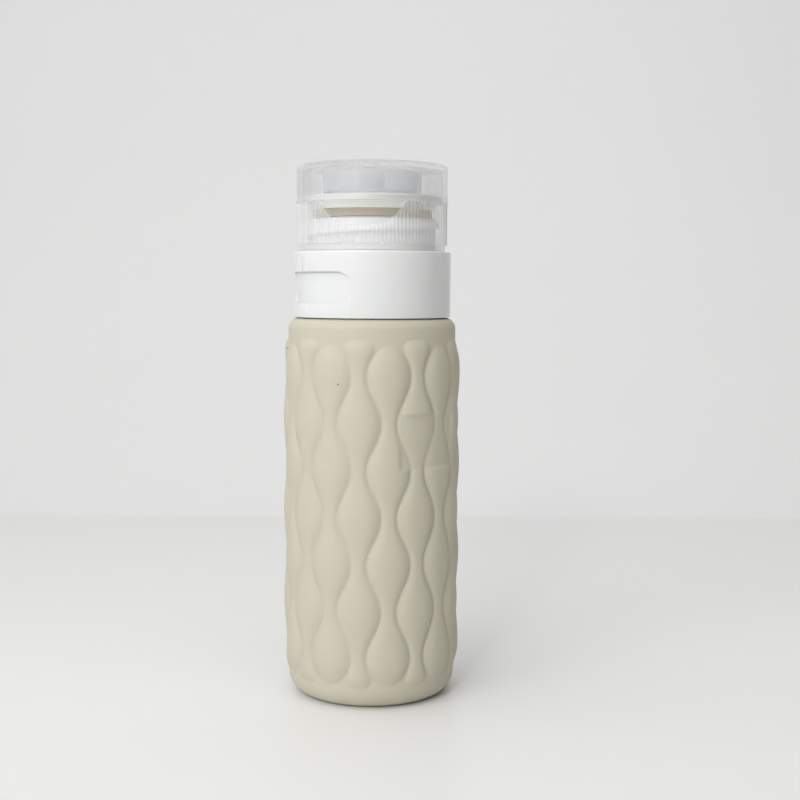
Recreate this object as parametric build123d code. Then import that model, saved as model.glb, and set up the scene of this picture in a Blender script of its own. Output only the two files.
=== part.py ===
from build123d import *

import os
from math import cos, degrees, pi, radians, sin, sqrt

# A squeezable silicone travel bottle with a turning label ring and a flip-top screw cap.
# Millimetres, +Z up, origin at the centre of the base. The front, with the thumb notch, faces -Y.

# Clearances
seat_clearance = 0.05
running_clearance = 0.08
soft_clearance = 0.15
cut_overrun = 1.0

# Silicone body
body_height = 95.6
body_radius = 21.15
body_wall = 1.7
floor_thickness = 2.4
shoulder_thickness = 2.3
base_edge_radius = 5.2
shoulder_edge_radius = 2.75
cavity_edge_radius = 3.0
foot_recess_radius = 11.5
foot_recess_depth = 0.5
silicone_neck_wall = 1.65
silicone_neck_height = 8.8

# Wavy relief: columns of pillows that swell and narrow in turn, two kinds half a wave apart
column_count = 18
wave_count = 3
sections_per_wave = 6
pillow_height = 1.25
narrow_height_share = 0.25
swing_share = 0.25
foot_band_height = 0.5
shoulder_band_height = 2.2
pillow_end_length = 2.6
bulb_end_inset = 0.45
bulb_top_inset = 1.35
lowest_bulb_rise = 7.2
highest_bulb_drop = 8.85
end_section_shares = (0, 0.3, 0.65, 1)

# Rigid neck
mouth_radius = 14.1
neck_tube_wall = 1.1
neck_thread_wall = 1.85
neck_skirt_depth = 2.6
neck_drum_wall = 1.0
neck_web_thickness = 1.5
neck_rise = 8.2
neck_bead_height = 0.6
neck_bead_bite = 0.4

# Label band and sleeve
band_wall = 0.97
sleeve_wall = 0.85
sleeve_height = 16.35
sleeve_flange_thickness = 1.0
sleeve_flange_clearance = 0.5
sleeve_edge_radius = 0.45
sleeve_draft = 0.09
window_height = 7.75
window_drop = 5.1
window_middle_angle = -51.0
window_half_angle = 45.0

# Screw thread, right-handed and single-start
thread_lead = 5.1
thread_depth = 1.0
thread_root_width = 2.0
thread_crest_width = 1.2
thread_edge_gap = 0.3
thread_flank_clearance = 0.2
thread_radial_clearance = 0.25
thread_start_angle = 35.0
thread_sink_share = 0.3

# Screw cap
cap_wall = 1.45
cap_foot_height = 1.4
cap_foot_inset = 0.25
rib_count = 120
rib_height = 0.25
rim_thickness = 1.4
rim_headroom = 0.1
deck_rise = 1.7
deck_thickness = 1.4
deck_wall = 1.5
deck_edge_radius = 0.4
boss_inset = 2.0
boss_rise = 1.5
boss_wall = 1.6
boss_top_thickness = 1.3
boss_edge_radius = 0.6
orifice_radius = 3.3
well_lip = 0.5
gasket_seat_width = 1.6
gasket_seat_inset = 0.1
notch_top_half_width = 10.1
notch_bottom_half_width = 5.5
notch_height = 5.3
notch_sag = 0.7
notch_depth = 1.15

# Gasket, valve and retainer
gasket_thickness = 2.0
gasket_inner_lap = 1.2
gasket_outer_lap = 0.9
valve_flange_thickness = 1.2
valve_dish_inset = 1.45
valve_dish_depth = 1.5
valve_film = 0.6
valve_slit_length = 5.0
valve_slit_width = 0.12
retainer_thickness = 1.6
retainer_width = 2.2

# Flip lid
lid_height = 9.5
lid_wall = 1.2
lid_top_thickness = 1.35
lid_edge_radius = 1.15
lid_inner_edge_radius = 0.6
lid_lip_height = 0.6
lid_lip_overhang = 0.25
lid_inset = 0.2
lid_side_clearance = 0.2
lid_ring_wall = 0.9
lid_ring_clearance = 0.6
lid_ring_gap = 1.0
plug_clearance = 0.2
plug_taper = 0.4
plug_reach = 0.95

# Living hinge
hinge_flat_inset = 0.7
hinge_flat_height = 5.0
hinge_film_half_width = 4.2
hinge_film_half_height = 1.0
hinge_film_thickness = 0.35
hinge_film_bulge = 0.75
seam_gap = 0.06

# Radii, worked out from the mouth outwards
tube_radius = mouth_radius + neck_tube_wall
silicone_neck_inner = tube_radius + seat_clearance
silicone_neck_outer = silicone_neck_inner + silicone_neck_wall
drum_inner = silicone_neck_outer + seat_clearance
drum_outer = drum_inner + neck_drum_wall
band_inner = drum_outer + seat_clearance
band_outer = band_inner + band_wall
sleeve_inner = band_outer + running_clearance
sleeve_outer = sleeve_inner + sleeve_wall
neck_thread_root = mouth_radius + neck_thread_wall
neck_thread_crest = neck_thread_root + thread_depth
sleeve_flange_inner = neck_thread_root + sleeve_flange_clearance
neck_bead_radius = sleeve_flange_inner + neck_bead_bite
cap_thread_crest = neck_thread_root + thread_radial_clearance
cap_inner = neck_thread_crest + thread_radial_clearance
cap_rib_root = cap_inner + cap_wall
cap_outer = cap_rib_root + rib_height
cap_foot_radius = cap_rib_root - cap_foot_inset
lid_lip_radius = cap_outer + lid_lip_overhang
lid_outer = lid_lip_radius - lid_inset
lid_inner = lid_outer - lid_wall
deck_outer = lid_inner - lid_side_clearance
deck_inner = deck_outer - deck_wall
gasket_inner = mouth_radius - gasket_inner_lap
gasket_outer = mouth_radius + gasket_outer_lap
boss_radius = gasket_inner - boss_inset
well_inner = boss_radius - boss_wall
retainer_outer = well_inner - seat_clearance
retainer_inner = retainer_outer - retainer_width
valve_dish_radius = retainer_inner - valve_dish_inset
lid_ring_inner = boss_radius + lid_ring_clearance
plug_radius = orifice_radius - plug_clearance
cavity_radius = body_radius - body_wall

# Heights, worked out from the base upwards
silicone_neck_top = body_height + silicone_neck_height
web_bottom = silicone_neck_top + seat_clearance
web_top = web_bottom + neck_web_thickness
sleeve_bottom = body_height + soft_clearance
sleeve_top = sleeve_bottom + sleeve_height
neck_top = sleeve_top + neck_rise
band_top = sleeve_top - sleeve_flange_thickness - soft_clearance
bead_bottom = sleeve_top + running_clearance
bead_top = bead_bottom + neck_bead_height
cap_bottom = sleeve_top + soft_clearance
foot_top = cap_bottom + cap_foot_height
rib_bottom = foot_top + cap_foot_inset
gasket_bottom = neck_top + soft_clearance
gasket_top = gasket_bottom + gasket_thickness
gasket_seat = gasket_top + soft_clearance
rim_ceiling = gasket_seat + rim_headroom
seam = rim_ceiling + rim_thickness
deck_top = seam + deck_rise
deck_ceiling = deck_top - deck_thickness
boss_top = deck_top + boss_rise
boss_ceiling = boss_top - boss_top_thickness
valve_top = boss_ceiling - seat_clearance
valve_bottom = valve_top - valve_flange_thickness
retainer_top = valve_bottom - seat_clearance
retainer_bottom = retainer_top - retainer_thickness
well_bottom = retainer_bottom - well_lip
lid_bottom = seam + seam_gap
lid_top = lid_bottom + lid_height
lid_ceiling = lid_top - lid_top_thickness
lid_ring_bottom = deck_top + lid_ring_gap

# The cap's thread is the neck's helix turned so far that it lies just under the neck's thread
thread_bottom = bead_top + thread_edge_gap + thread_root_width / 2
thread_rise = neck_top - thread_edge_gap - thread_root_width / 2 - thread_bottom
thread_flank_slope = (thread_root_width - thread_crest_width) / 2 / thread_depth
thread_touching_drop = thread_root_width - thread_flank_slope * (cap_inner - neck_thread_root)
thread_offset_angle = (thread_touching_drop + thread_flank_clearance) / thread_lead * 360

# The flats at the back that the living hinge joins
hinge_flat = cap_outer - hinge_flat_inset
lid_inner_flat = hinge_flat - lid_wall
deck_flat = lid_inner_flat - lid_side_clearance


def ring(inner, outer, bottom, top):
    """A plain ring, or a disc where inner is zero."""
    seat = (Align.CENTER, Align.CENTER, Align.MIN)
    solid = Pos(0, 0, bottom) * Cylinder(outer, top - bottom, align=seat)
    if inner > 0:
        bore = Cylinder(inner, top - bottom + cut_overrun * 2, align=seat)
        solid -= Pos(0, 0, bottom - cut_overrun) * bore
    return solid


def behind(flat, bottom, top):
    """A block that takes away everything behind a flat at the back."""
    reach = sleeve_outer * 2
    block = Box(reach * 2, reach, top - bottom, align=(Align.CENTER, Align.MIN, Align.MIN))
    return Pos(0, flat, bottom) * block


def path(*points):
    """Straight lines through (radius, height) points, in the XZ plane."""
    return Polyline(*[(radius, 0, height) for radius, height in points])


def bend(start, middle, end):
    """An arc through three (radius, height) points, in the XZ plane."""
    return ThreePointArc(*[(radius, 0, height) for radius, height in (start, middle, end)])


def quarter(tip, radius):
    """The round of an outer edge whose sharp (radius, height) tip is given: upper, or lower below zero."""
    across, height = tip
    diagonal = abs(radius) * (1 - sqrt(1 / 2))
    middle = (across - diagonal, height - diagonal if radius > 0 else height + diagonal)
    return bend((across, height - radius), middle, (across - abs(radius), height))


def turned(*lines):
    """A solid of revolution about Z from the lines of its closed half section."""
    edges = [edge for line in lines for edge in line.edges()]
    return revolve(make_face(edges), Axis.Z)


def revolved_faces(*lines):
    """The faces that the lines of an open half section sweep out about Z."""
    outline = Wire([edge for line in lines for edge in line.edges()])
    return list(Shell.revolve(outline, 360, Axis.Z).faces())


def around(radius, angle, height):
    """The point at a radius, an angle in degrees from the front towards +X, and a height."""
    return Vector(radius * sin(radians(angle)), -radius * cos(radians(angle)), height)


def thread(root, crest, start_height, rise, start_angle):
    """A helical ridge from just under its root surface to its crest, which may lie inside or outside."""
    sink = (root - crest) * thread_sink_share
    helix = Helix(thread_lead, rise, root)
    half_root, half_crest = thread_root_width / 2, thread_crest_width / 2
    section = Polyline(
        (root + sink, 0, -half_root),
        (root, 0, -half_root),
        (crest, 0, -half_crest),
        (crest, 0, half_crest),
        (root, 0, half_root),
        (root + sink, 0, half_root),
        close=True,
    )
    ridge = sweep(make_face(section), helix, is_frenet=True)
    return Pos(0, 0, start_height) * Rot(0, 0, start_angle) * ridge


# Silicone body

shoulder_start = body_height - shoulder_edge_radius
relief_bottom = base_edge_radius + foot_band_height
relief_top = shoulder_start - shoulder_band_height
low_bulb = relief_bottom + lowest_bulb_rise
high_bulb = relief_top - highest_bulb_drop
wave_length = (high_bulb - low_bulb) / wave_count
column_pitch = 360 / column_count


def swell(column, height):
    """How far a column is swollen at a height: 1 at its widest, -1 at its narrowest."""
    side = 1 if column % 2 else -1
    return side * cos(2 * pi * (height - low_bulb) / wave_length)


def valley_angle(column, height):
    """The angle of the valley between a column and the next one."""
    return (column + 0.5) * column_pitch + swell(column, height) * swing_share * column_pitch


def pillow_crest(column, height):
    """The radius of the crest of a column's pillow at a height."""
    width_share = (1 + 2 * swing_share * swell(column, height)) / (1 + 2 * swing_share)
    crest = pillow_height * (narrow_height_share + (1 - narrow_height_share) * width_share)
    bottom = relief_bottom + (bulb_end_inset if column % 2 else 0)
    top = relief_top - (bulb_top_inset if column % 2 else 0)
    for travelled in (height - bottom, top - height):
        end_share = min(max(travelled / pillow_end_length, 0), 1)
        crest *= sin(end_share * pi / 2)
    return body_radius + crest


def relief_section(height):
    """The closed outline of the eighteen pillows at one height, one arc for each."""
    arcs = []
    for column in range(column_count):
        left = valley_angle(column - 1, height)
        right = valley_angle(column, height)
        crest = pillow_crest(column, height)
        arcs.append(
            ThreePointArc(
                around(body_radius, left, height),
                around(crest, (left + right) / 2, height),
                around(body_radius, right, height),
            )
        )
    return Wire(arcs)


def relief_heights():
    """Heights of the outlines: even ones along the waves and closer ones at the pillows' ends."""
    step = wave_length / sections_per_wave
    ends = [relief_bottom + share * pillow_end_length for share in end_section_shares]
    ends += [relief_top - bulb_top_inset - share * pillow_end_length for share in end_section_shares]
    ends += [relief_top, relief_top - bulb_top_inset / 2]
    low, high = relief_bottom + pillow_end_length, relief_top - bulb_top_inset - pillow_end_length
    first = low_bulb - step * int((low_bulb - low) / step)
    count = int((high - first) / step) + 1
    waves = [first + step * k for k in range(count)]
    waves = [z for z in waves if low + step / 2 < z < high - step / 2]
    return sorted([base_edge_radius, shoulder_start, *ends, *waves])


def make_silicone_bottle():
    """One closed skin: the foot, the relief, and the shoulder and neck with the whole inside."""
    foot = revolved_faces(
        path(
            (0, foot_recess_depth),
            (foot_recess_radius, foot_recess_depth),
            (foot_recess_radius, 0),
            (body_radius - base_edge_radius, 0),
        ),
        quarter((body_radius, 0), -base_edge_radius),
    )
    relief = Solid.make_loft([relief_section(height) for height in relief_heights()])
    pillows = [face for face in relief.faces() if face.geom_type != GeomType.PLANE]
    ceiling = body_height - shoulder_thickness
    shoulder_and_inside = revolved_faces(
        quarter((body_radius, body_height), shoulder_edge_radius),
        path(
            (body_radius - shoulder_edge_radius, body_height),
            (silicone_neck_outer, body_height),
            (silicone_neck_outer, silicone_neck_top),
            (silicone_neck_inner, silicone_neck_top),
            (silicone_neck_inner, ceiling),
            (cavity_radius - cavity_edge_radius, ceiling),
        ),
        quarter((cavity_radius, ceiling), cavity_edge_radius),
        path(
            (cavity_radius, ceiling - cavity_edge_radius),
            (cavity_radius, floor_thickness + cavity_edge_radius),
        ),
        quarter((cavity_radius, floor_thickness), -cavity_edge_radius),
        path((cavity_radius - cavity_edge_radius, floor_thickness), (0, floor_thickness)),
    )
    return Solid(Shell(foot + pillows + shoulder_and_inside))


# Rigid neck, label band and sleeve


def make_threaded_neck():
    skirt_bottom = body_height - neck_skirt_depth
    drum_bottom = body_height + seat_clearance
    shell = turned(
        path(
            (mouth_radius, skirt_bottom),
            (tube_radius, skirt_bottom),
            (tube_radius, web_bottom),
            (drum_inner, web_bottom),
            (drum_inner, drum_bottom),
            (drum_outer, drum_bottom),
            (drum_outer, band_top),
            (drum_inner, band_top),
            (drum_inner, web_top),
            (neck_thread_root, web_top),
            (neck_thread_root, bead_bottom),
            (neck_bead_radius, bead_bottom),
            (neck_bead_radius, bead_top - neck_bead_height / 2),
            (neck_thread_root, bead_top),
            (neck_thread_root, neck_top),
            (mouth_radius, neck_top),
            (mouth_radius, skirt_bottom),
        )
    )
    return shell + thread(
        neck_thread_root, neck_thread_crest, thread_bottom, thread_rise, thread_start_angle
    )


def make_label_band():
    return ring(band_inner, band_outer, sleeve_bottom, band_top)


def make_window():
    """The cutter of the stadium window: a stretch of ring with a radial cylinder at each end."""
    end_radius = window_height / 2
    middle = sleeve_top - window_drop - end_radius
    low, high = middle - end_radius, middle + end_radius
    inner, outer = sleeve_flange_inner, sleeve_outer + cut_overrun
    section = path((inner, low), (outer, low), (outer, high), (inner, high), (inner, low))
    end_angle = window_half_angle - degrees(end_radius / sleeve_outer)
    first, last = window_middle_angle - end_angle, window_middle_angle + end_angle
    window = Rot(0, 0, first - 90) * revolve(make_face(section.edges()), Axis.Z, last - first)
    for angle in (first, last):
        plane = Plane(origin=around(inner, angle, middle), z_dir=around(outer, angle, 0))
        seat = (Align.CENTER, Align.CENTER, Align.MIN)
        window += plane * Cylinder(end_radius, outer - inner, align=seat)
    return window


def make_label_sleeve():
    low_outer = sleeve_outer - sleeve_draft
    flange_bottom = sleeve_top - sleeve_flange_thickness
    edge = sleeve_edge_radius
    shell = turned(
        path((sleeve_inner, sleeve_bottom), (low_outer, sleeve_bottom), (sleeve_outer, sleeve_top - edge)),
        quarter((sleeve_outer, sleeve_top), edge),
        path(
            (sleeve_outer - edge, sleeve_top),
            (sleeve_flange_inner, sleeve_top),
            (sleeve_flange_inner, flange_bottom),
            (sleeve_inner, flange_bottom),
            (sleeve_inner, sleeve_bottom),
        ),
    )
    return shell - make_window()


# Screw cap, with its gasket, valve and retainer


def make_cap_shell():
    deck_edge = (deck_outer - deck_edge_radius, deck_top)
    boss_edge = (boss_radius - boss_edge_radius, boss_top)
    seat_inner = gasket_inner + gasket_seat_inset
    seat_outer = seat_inner + gasket_seat_width
    under_ribs = cap_rib_root - rib_height / 2
    return turned(
        path(
            (cap_inner, cap_bottom),
            (cap_foot_radius, cap_bottom),
            (cap_foot_radius, foot_top),
            (under_ribs, rib_bottom),
            (under_ribs, seam),
            (deck_outer, seam),
            (deck_outer, deck_top - deck_edge_radius),
        ),
        quarter((deck_outer, deck_top), deck_edge_radius),
        path(deck_edge, (boss_radius, deck_top), (boss_radius, boss_top - boss_edge_radius)),
        quarter((boss_radius, boss_top), boss_edge_radius),
        path(
            boss_edge,
            (orifice_radius, boss_top),
            (orifice_radius, boss_ceiling),
            (well_inner, boss_ceiling),
            (well_inner, well_bottom),
            (boss_radius, well_bottom),
            (boss_radius, deck_ceiling),
            (seat_inner, deck_ceiling),
            (seat_inner, gasket_seat),
            (seat_outer, gasket_seat),
            (seat_outer, deck_ceiling),
            (deck_inner, deck_ceiling),
            (deck_inner, rim_ceiling),
            (cap_inner, rim_ceiling),
            (cap_inner, cap_bottom),
        ),
    )


def make_ribs():
    """The ribbed skin of the cap wall, as a zigzag outline drawn up from the foot to the seam."""
    outline = []
    for rib in range(rib_count):
        outline.append(around(cap_outer, rib * 360 / rib_count, rib_bottom))
        outline.append(around(cap_rib_root, (rib + 0.5) * 360 / rib_count, rib_bottom))
    skin = extrude(make_face(Polyline(*outline, close=True)), seam - rib_bottom, dir=(0, 0, 1))
    return skin - ring(0, cap_rib_root - rib_height, rib_bottom - cut_overrun, seam + cut_overrun)


def make_notch():
    """The thumb notch's cutter: a trapezoid with a sagging lower edge, down to a shallow floor."""
    top, floor = seam + cut_overrun, seam - notch_height
    slope = (notch_top_half_width - notch_bottom_half_width) / notch_height
    top_half_width = notch_top_half_width + slope * cut_overrun
    outline = [
        Polyline(
            (-notch_bottom_half_width, 0, floor),
            (-top_half_width, 0, top),
            (top_half_width, 0, top),
            (notch_bottom_half_width, 0, floor),
        ),
        ThreePointArc(
            (notch_bottom_half_width, 0, floor),
            (0, 0, floor - notch_sag),
            (-notch_bottom_half_width, 0, floor),
        ),
    ]
    edges = [edge for line in outline for edge in line.edges()]
    block = extrude(make_face(edges), cap_outer + cut_overrun, dir=(0, -1, 0))
    return block - ring(0, cap_outer - notch_depth, floor - notch_height, top + cut_overrun)


def make_screw_cap():
    cap = make_cap_shell() + make_ribs()
    cap -= [
        make_notch(),
        behind(hinge_flat, seam - hinge_flat_height, seam + cut_overrun),
        behind(deck_flat, seam, deck_top + cut_overrun),
    ]
    return cap + thread(
        cap_inner, cap_thread_crest, thread_bottom, thread_rise, thread_start_angle + thread_offset_angle
    )


def make_neck_gasket():
    return ring(gasket_inner, gasket_outer, gasket_bottom, gasket_top)


def make_no_drip_valve():
    dish, film, depth = valve_dish_radius, valve_film, valve_dish_depth
    rim = retainer_outer
    sag = depth * 3 / 4
    solid = turned(
        path((0, valve_top - depth), (0, valve_top - depth - film)),
        bend((0, valve_top - depth - film), (dish / 2, valve_top - sag - film), (dish, valve_bottom)),
        path((dish, valve_bottom), (rim, valve_bottom), (rim, valve_top), (dish, valve_top)),
        bend((dish, valve_top), (dish / 2, valve_top - sag), (0, valve_top - depth)),
    )
    slit = Pos(0, 0, valve_top - depth) * Box(valve_slit_length, valve_slit_width, film * 4)
    return solid - [slit, Rot(0, 0, 90) * slit]


def make_valve_retainer():
    return ring(retainer_inner, retainer_outer, retainer_bottom, retainer_top)


# Flip lid and its living hinge


def make_flip_lid():
    edge, inner_edge = lid_edge_radius, lid_inner_edge_radius
    outside = turned(
        path(
            (0, lid_bottom),
            (lid_lip_radius, lid_bottom),
            (lid_lip_radius, lid_bottom + lid_lip_height),
            (lid_outer, lid_bottom + lid_lip_height + lid_inset),
            (lid_outer, lid_top - edge),
        ),
        quarter((lid_outer, lid_top), edge),
        path((lid_outer - edge, lid_top), (0, lid_top), (0, lid_bottom)),
    )
    inside = turned(
        path((0, lid_ceiling), (0, lid_bottom - cut_overrun), (lid_inner, lid_bottom - cut_overrun)),
        path((lid_inner, lid_bottom - cut_overrun), (lid_inner, lid_ceiling - inner_edge)),
        quarter((lid_inner, lid_ceiling), inner_edge),
        path((lid_inner - inner_edge, lid_ceiling), (0, lid_ceiling)),
    )
    outside -= behind(hinge_flat, lid_bottom - cut_overrun, lid_top + cut_overrun)
    inside -= behind(lid_inner_flat, lid_bottom - cut_overrun * 2, lid_top)
    buried = lid_ceiling + lid_top_thickness / 2
    inner_ring = ring(lid_ring_inner, lid_ring_inner + lid_ring_wall, lid_ring_bottom, buried)
    plug = turned(
        path(
            (0, boss_top - plug_reach),
            (plug_radius - plug_taper, boss_top - plug_reach),
            (plug_radius, boss_top),
            (plug_radius, buried),
            (0, buried),
            (0, boss_top - plug_reach),
        )
    )
    return outside - inside + [inner_ring, plug]


def make_hinge_film():
    """A thin strip that bulges out between the flats of the cap and the lid."""
    half, thickness = hinge_film_half_height, hinge_film_thickness
    middle = (seam + lid_bottom) / 2
    crest = hinge_flat + hinge_film_bulge
    outline = [
        ThreePointArc(
            (0, hinge_flat, middle - half), (0, crest, middle), (0, hinge_flat, middle + half)
        ),
        Line((0, hinge_flat, middle + half), (0, hinge_flat, middle + half - thickness)),
        ThreePointArc(
            (0, hinge_flat, middle + half - thickness),
            (0, crest - thickness, middle),
            (0, hinge_flat, middle - half + thickness),
        ),
        Line((0, hinge_flat, middle - half + thickness), (0, hinge_flat, middle - half)),
    ]
    edges = [edge for line in outline for edge in line.edges()]
    return extrude(make_face(edges), hinge_film_half_width, dir=(1, 0, 0), both=True)


makers = {
    "silicone_bottle": make_silicone_bottle,
    "threaded_neck": make_threaded_neck,
    "label_band": make_label_band,
    "label_sleeve": make_label_sleeve,
    "screw_cap": make_screw_cap,
    "neck_gasket": make_neck_gasket,
    "no_drip_valve": make_no_drip_valve,
    "valve_retainer": make_valve_retainer,
    "flip_lid": make_flip_lid,
    "hinge_film": make_hinge_film,
}

os.makedirs("parts", exist_ok=True)
for name, make in makers.items():
    export_step(make(), f"parts/{name}.step")
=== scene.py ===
import math

import bmesh
import bpy
import numpy as np
from mathutils import Matrix, Vector


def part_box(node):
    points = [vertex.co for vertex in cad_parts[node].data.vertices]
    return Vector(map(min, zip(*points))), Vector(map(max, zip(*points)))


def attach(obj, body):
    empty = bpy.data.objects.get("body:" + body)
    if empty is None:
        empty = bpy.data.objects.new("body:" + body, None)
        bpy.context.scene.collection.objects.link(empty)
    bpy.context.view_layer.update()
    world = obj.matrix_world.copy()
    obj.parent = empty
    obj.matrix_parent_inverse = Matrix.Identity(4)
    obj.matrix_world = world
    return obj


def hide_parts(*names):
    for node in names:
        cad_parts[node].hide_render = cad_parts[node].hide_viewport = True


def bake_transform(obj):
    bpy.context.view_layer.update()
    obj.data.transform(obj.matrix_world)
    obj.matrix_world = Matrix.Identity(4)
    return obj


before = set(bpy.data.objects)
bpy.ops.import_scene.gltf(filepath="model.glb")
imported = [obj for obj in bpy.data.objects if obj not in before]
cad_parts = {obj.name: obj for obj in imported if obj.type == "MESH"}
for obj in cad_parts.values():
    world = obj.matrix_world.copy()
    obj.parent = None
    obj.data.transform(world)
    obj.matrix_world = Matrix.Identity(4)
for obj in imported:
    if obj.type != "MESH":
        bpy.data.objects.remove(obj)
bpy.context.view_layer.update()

bl_info = {
    "name": "Travel Silicone Bottle",
    "version": (1, 0, 0),
    "blender": (4, 5, 0),
    "location": "View3D > Sidebar > Bottle",
    "description": "A squeezable silicone travel bottle with a turning label ring and a flip-top screw cap",
    "category": "Object",
}

# Angles are in degrees from the front, -Y, towards +X. Outlines are (radius, height, round) points in
# metres, each with the radius of its rounded corner.


def mm(value):
    return value * 0.001


def length(name, description, millimetres):
    return bpy.props.FloatProperty(
        name=name,
        description=description,
        default=mm(millimetres),
        min=0,
        precision=5,
        unit="LENGTH",
        subtype="DISTANCE",
    )


def share(name, description, value):
    return bpy.props.FloatProperty(
        name=name, description=description, default=value, min=0, max=1, subtype="FACTOR"
    )


def colour(name, description, value):
    return bpy.props.FloatVectorProperty(
        name=name, description=description, default=value, min=0, max=1, size=3, subtype="COLOR"
    )


class SiliconeSizes(bpy.types.PropertyGroup):
    radius: length("Radius", "Radius of the wall between the pillows", 21.15)
    height: length("Height", "From the foot to the shoulder's top", 95.6)
    wall: length("Wall", "Thickness of the wall", 1.7)
    floor: length("Floor", "Thickness of the floor", 2.4)
    shoulder: length("Shoulder", "Thickness of the shoulder", 2.3)
    foot_round: length("Foot round", "Radius of the foot's rounded edge", 5.2)
    shoulder_round: length("Shoulder round", "Radius of the shoulder's rounded edge", 2.75)
    inside_round: length("Inside round", "Radius of the rounds inside", 3.0)
    recess_radius: length("Recess radius", "Radius of the foot's recess", 11.5)
    recess_depth: length("Recess depth", "Depth of the foot's recess", 0.5)
    neck_inner: length("Neck bore", "Inner radius of the neck", 15.25)
    neck_outer: length("Neck radius", "Outer radius of the neck", 16.9)
    neck_height: length("Neck height", "Height of the neck above the shoulder", 8.8)


class PillowSizes(bpy.types.PropertyGroup):
    columns: bpy.props.IntProperty(
        name="Columns", description="Columns of pillows round the wall", default=18, min=2
    )
    waves: bpy.props.IntProperty(
        name="Waves", description="Waves between the lowest and the highest bulb", default=3, min=1
    )
    proud: length("Proud", "How far the widest pillow stands out", 1.22)
    bottom: length("Bottom", "Height at which the pillows begin", 5.7)
    top: length("Top", "Height at which the pillows end", 90.65)
    bulb_bottom_inset: length("Bulb bottom inset", "How much later every other column begins", 0.45)
    bulb_top_inset: length("Bulb top inset", "How much earlier every other column ends", 1.35)
    low_bulb: length("Lowest bulb", "Height of the lowest bulb's widest line", 12.9)
    high_bulb: length("Highest bulb", "Height of the highest bulb's widest line", 81.8)
    bulb_end: length("Bulb end", "Length of the round end after a bulb", 5.2)
    flare_end: length("Flare end", "Length of the round end of a flared column", 4.4)
    swing: share("Swing", "How far a valley swings, as a share of the columns' pitch", 0.25)
    narrow: share("Narrow share", "Height kept where a column is narrowest", 0.25)


class ColourChoices(bpy.types.PropertyGroup):
    silicone: colour("Silicone", "The matte body", (0.568, 0.538, 0.438))
    # The valley colour is painted shade: the body's colour darkened where its creases and valleys lie in
    # shade.
    valley: colour("Valleys", "The body's colour down in its valleys", (0.475, 0.432, 0.33))
    collar: colour("Collar", "The glossy turning sleeve", (0.76, 0.763, 0.768))
    label: colour("Label", "The ring in the sleeve's window", (0.75, 0.757, 0.77))
    frosted: colour("Frosted", "The translucent cap", (0.87, 0.876, 0.885))
    lid: colour("Lid", "The translucent lid", (0.77, 0.775, 0.785))
    # The cap rim's warm cream colour is a painted glow, standing in for the warm light above the gasket.
    rim: colour("Cap rim", "The thick rim of the cap over the gasket", (0.98, 0.965, 0.91))
    ring: colour("Lid ring", "The ring and the plug inside the lid", (0.75, 0.765, 0.80))
    neck: colour("Neck", "The rigid neck under the cap", (0.83, 0.835, 0.84))
    gasket: colour("Gasket", "The sealing ring in the cap", (0.50, 0.43, 0.32))
    floor: colour("Floor", "The pale studio floor", (0.815, 0.817, 0.815))
    wall: colour("Wall", "The pale studio wall", (0.87, 0.872, 0.875))


def sizes():
    return bpy.context.scene.bottle_silicone


def pillows():
    return bpy.context.scene.bottle_pillows


def colours():
    return bpy.context.scene.bottle_colours


# Rounds and allowances that several pieces share

HAIR_ROUND = mm(0.05)
CRISP_ROUND = mm(0.1)
EDGE_ROUND = mm(0.12)
FINE_ROUND = mm(0.15)
SMALL_ROUND = mm(0.2)
PLAIN_ROUND = mm(0.3)
MOUTH_ROUND = mm(0.35)
SOFT_ROUND = mm(0.4)
FULL_ROUND = mm(0.5)
SAME_PLACE = mm(0.01)
CUT_OVERRUN = mm(1.0)
DEEP_CUT_OVERRUN = mm(1.5)

# Meshes

MERGE_DISTANCE = mm(0.002)
RIM_MERGE_DISTANCE = mm(0.003)
RIM_SHARP_ANGLE = 50
RIM_SEGMENTS = 3
RIM_PROFILE = 0.6
FLAT_FACING_SHARE = 0.2
ROUND_SEGMENTS = 360
ROUND_STEPS = 4
FINE_ROUND_STEPS = 6
SHARP_ANGLE = 40


def rounded(corners, steps=ROUND_STEPS, closed=True, rows=None):
    """The (radius, height) points of an outline with its corners rounded.

    rows gives, for a corner's index, how many points the side before that corner is divided by.
    """
    points = []
    count = len(corners)
    for index, (radius, height, rounding) in enumerate(corners):
        here = Vector((radius, height))
        if rows and index in rows:
            points += stretch(points[-1], (radius, height), rows[index])
        is_end = not closed and index in (0, count - 1)
        if rounding <= 0 or is_end:
            points.append((radius, height))
            continue
        before = Vector(corners[index - 1][:2]) - here
        after = Vector(corners[(index + 1) % count][:2]) - here
        half = before.angle(after) / 2
        reach = min(rounding / math.tan(half), before.length / 2, after.length / 2)
        true_round = reach * math.tan(half)
        start = here + before.normalized() * reach
        inward = (before.normalized() + after.normalized()).normalized()
        middle = here + inward * (true_round / math.sin(half))
        turn = math.pi - half * 2
        side = 1 if before.cross(after) < 0 else -1
        for step in range(steps + 1):
            arm = start - middle
            arm.rotate(Matrix.Rotation(side * turn * step / steps, 2))
            points.append(tuple(middle + arm))
    return points


def band(inner, outer, low, high, rounding, steps=ROUND_STEPS):
    """The outline of a plain ring."""
    places = ((inner, low), (outer, low), (outer, high), (inner, high))
    return rounded([(radius, height, rounding) for radius, height in places], steps)


def stretch(start, end, count):
    """Evenly spaced points from start to end, without either."""
    a, b = Vector(start), Vector(end)
    return [tuple(a.lerp(b, step / (count + 1))) for step in range(1, count + 1)]


def arc(start, centre, turn, steps):
    """Points of an arc from start about centre, by a turn in degrees."""
    arm, middle = Vector(start) - Vector(centre), Vector(centre)
    points = []
    for step in range(steps + 1):
        turned = arm.copy()
        turned.rotate(Matrix.Rotation(math.radians(turn) * step / steps, 2))
        points.append(tuple(middle + turned))
    return points


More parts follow.
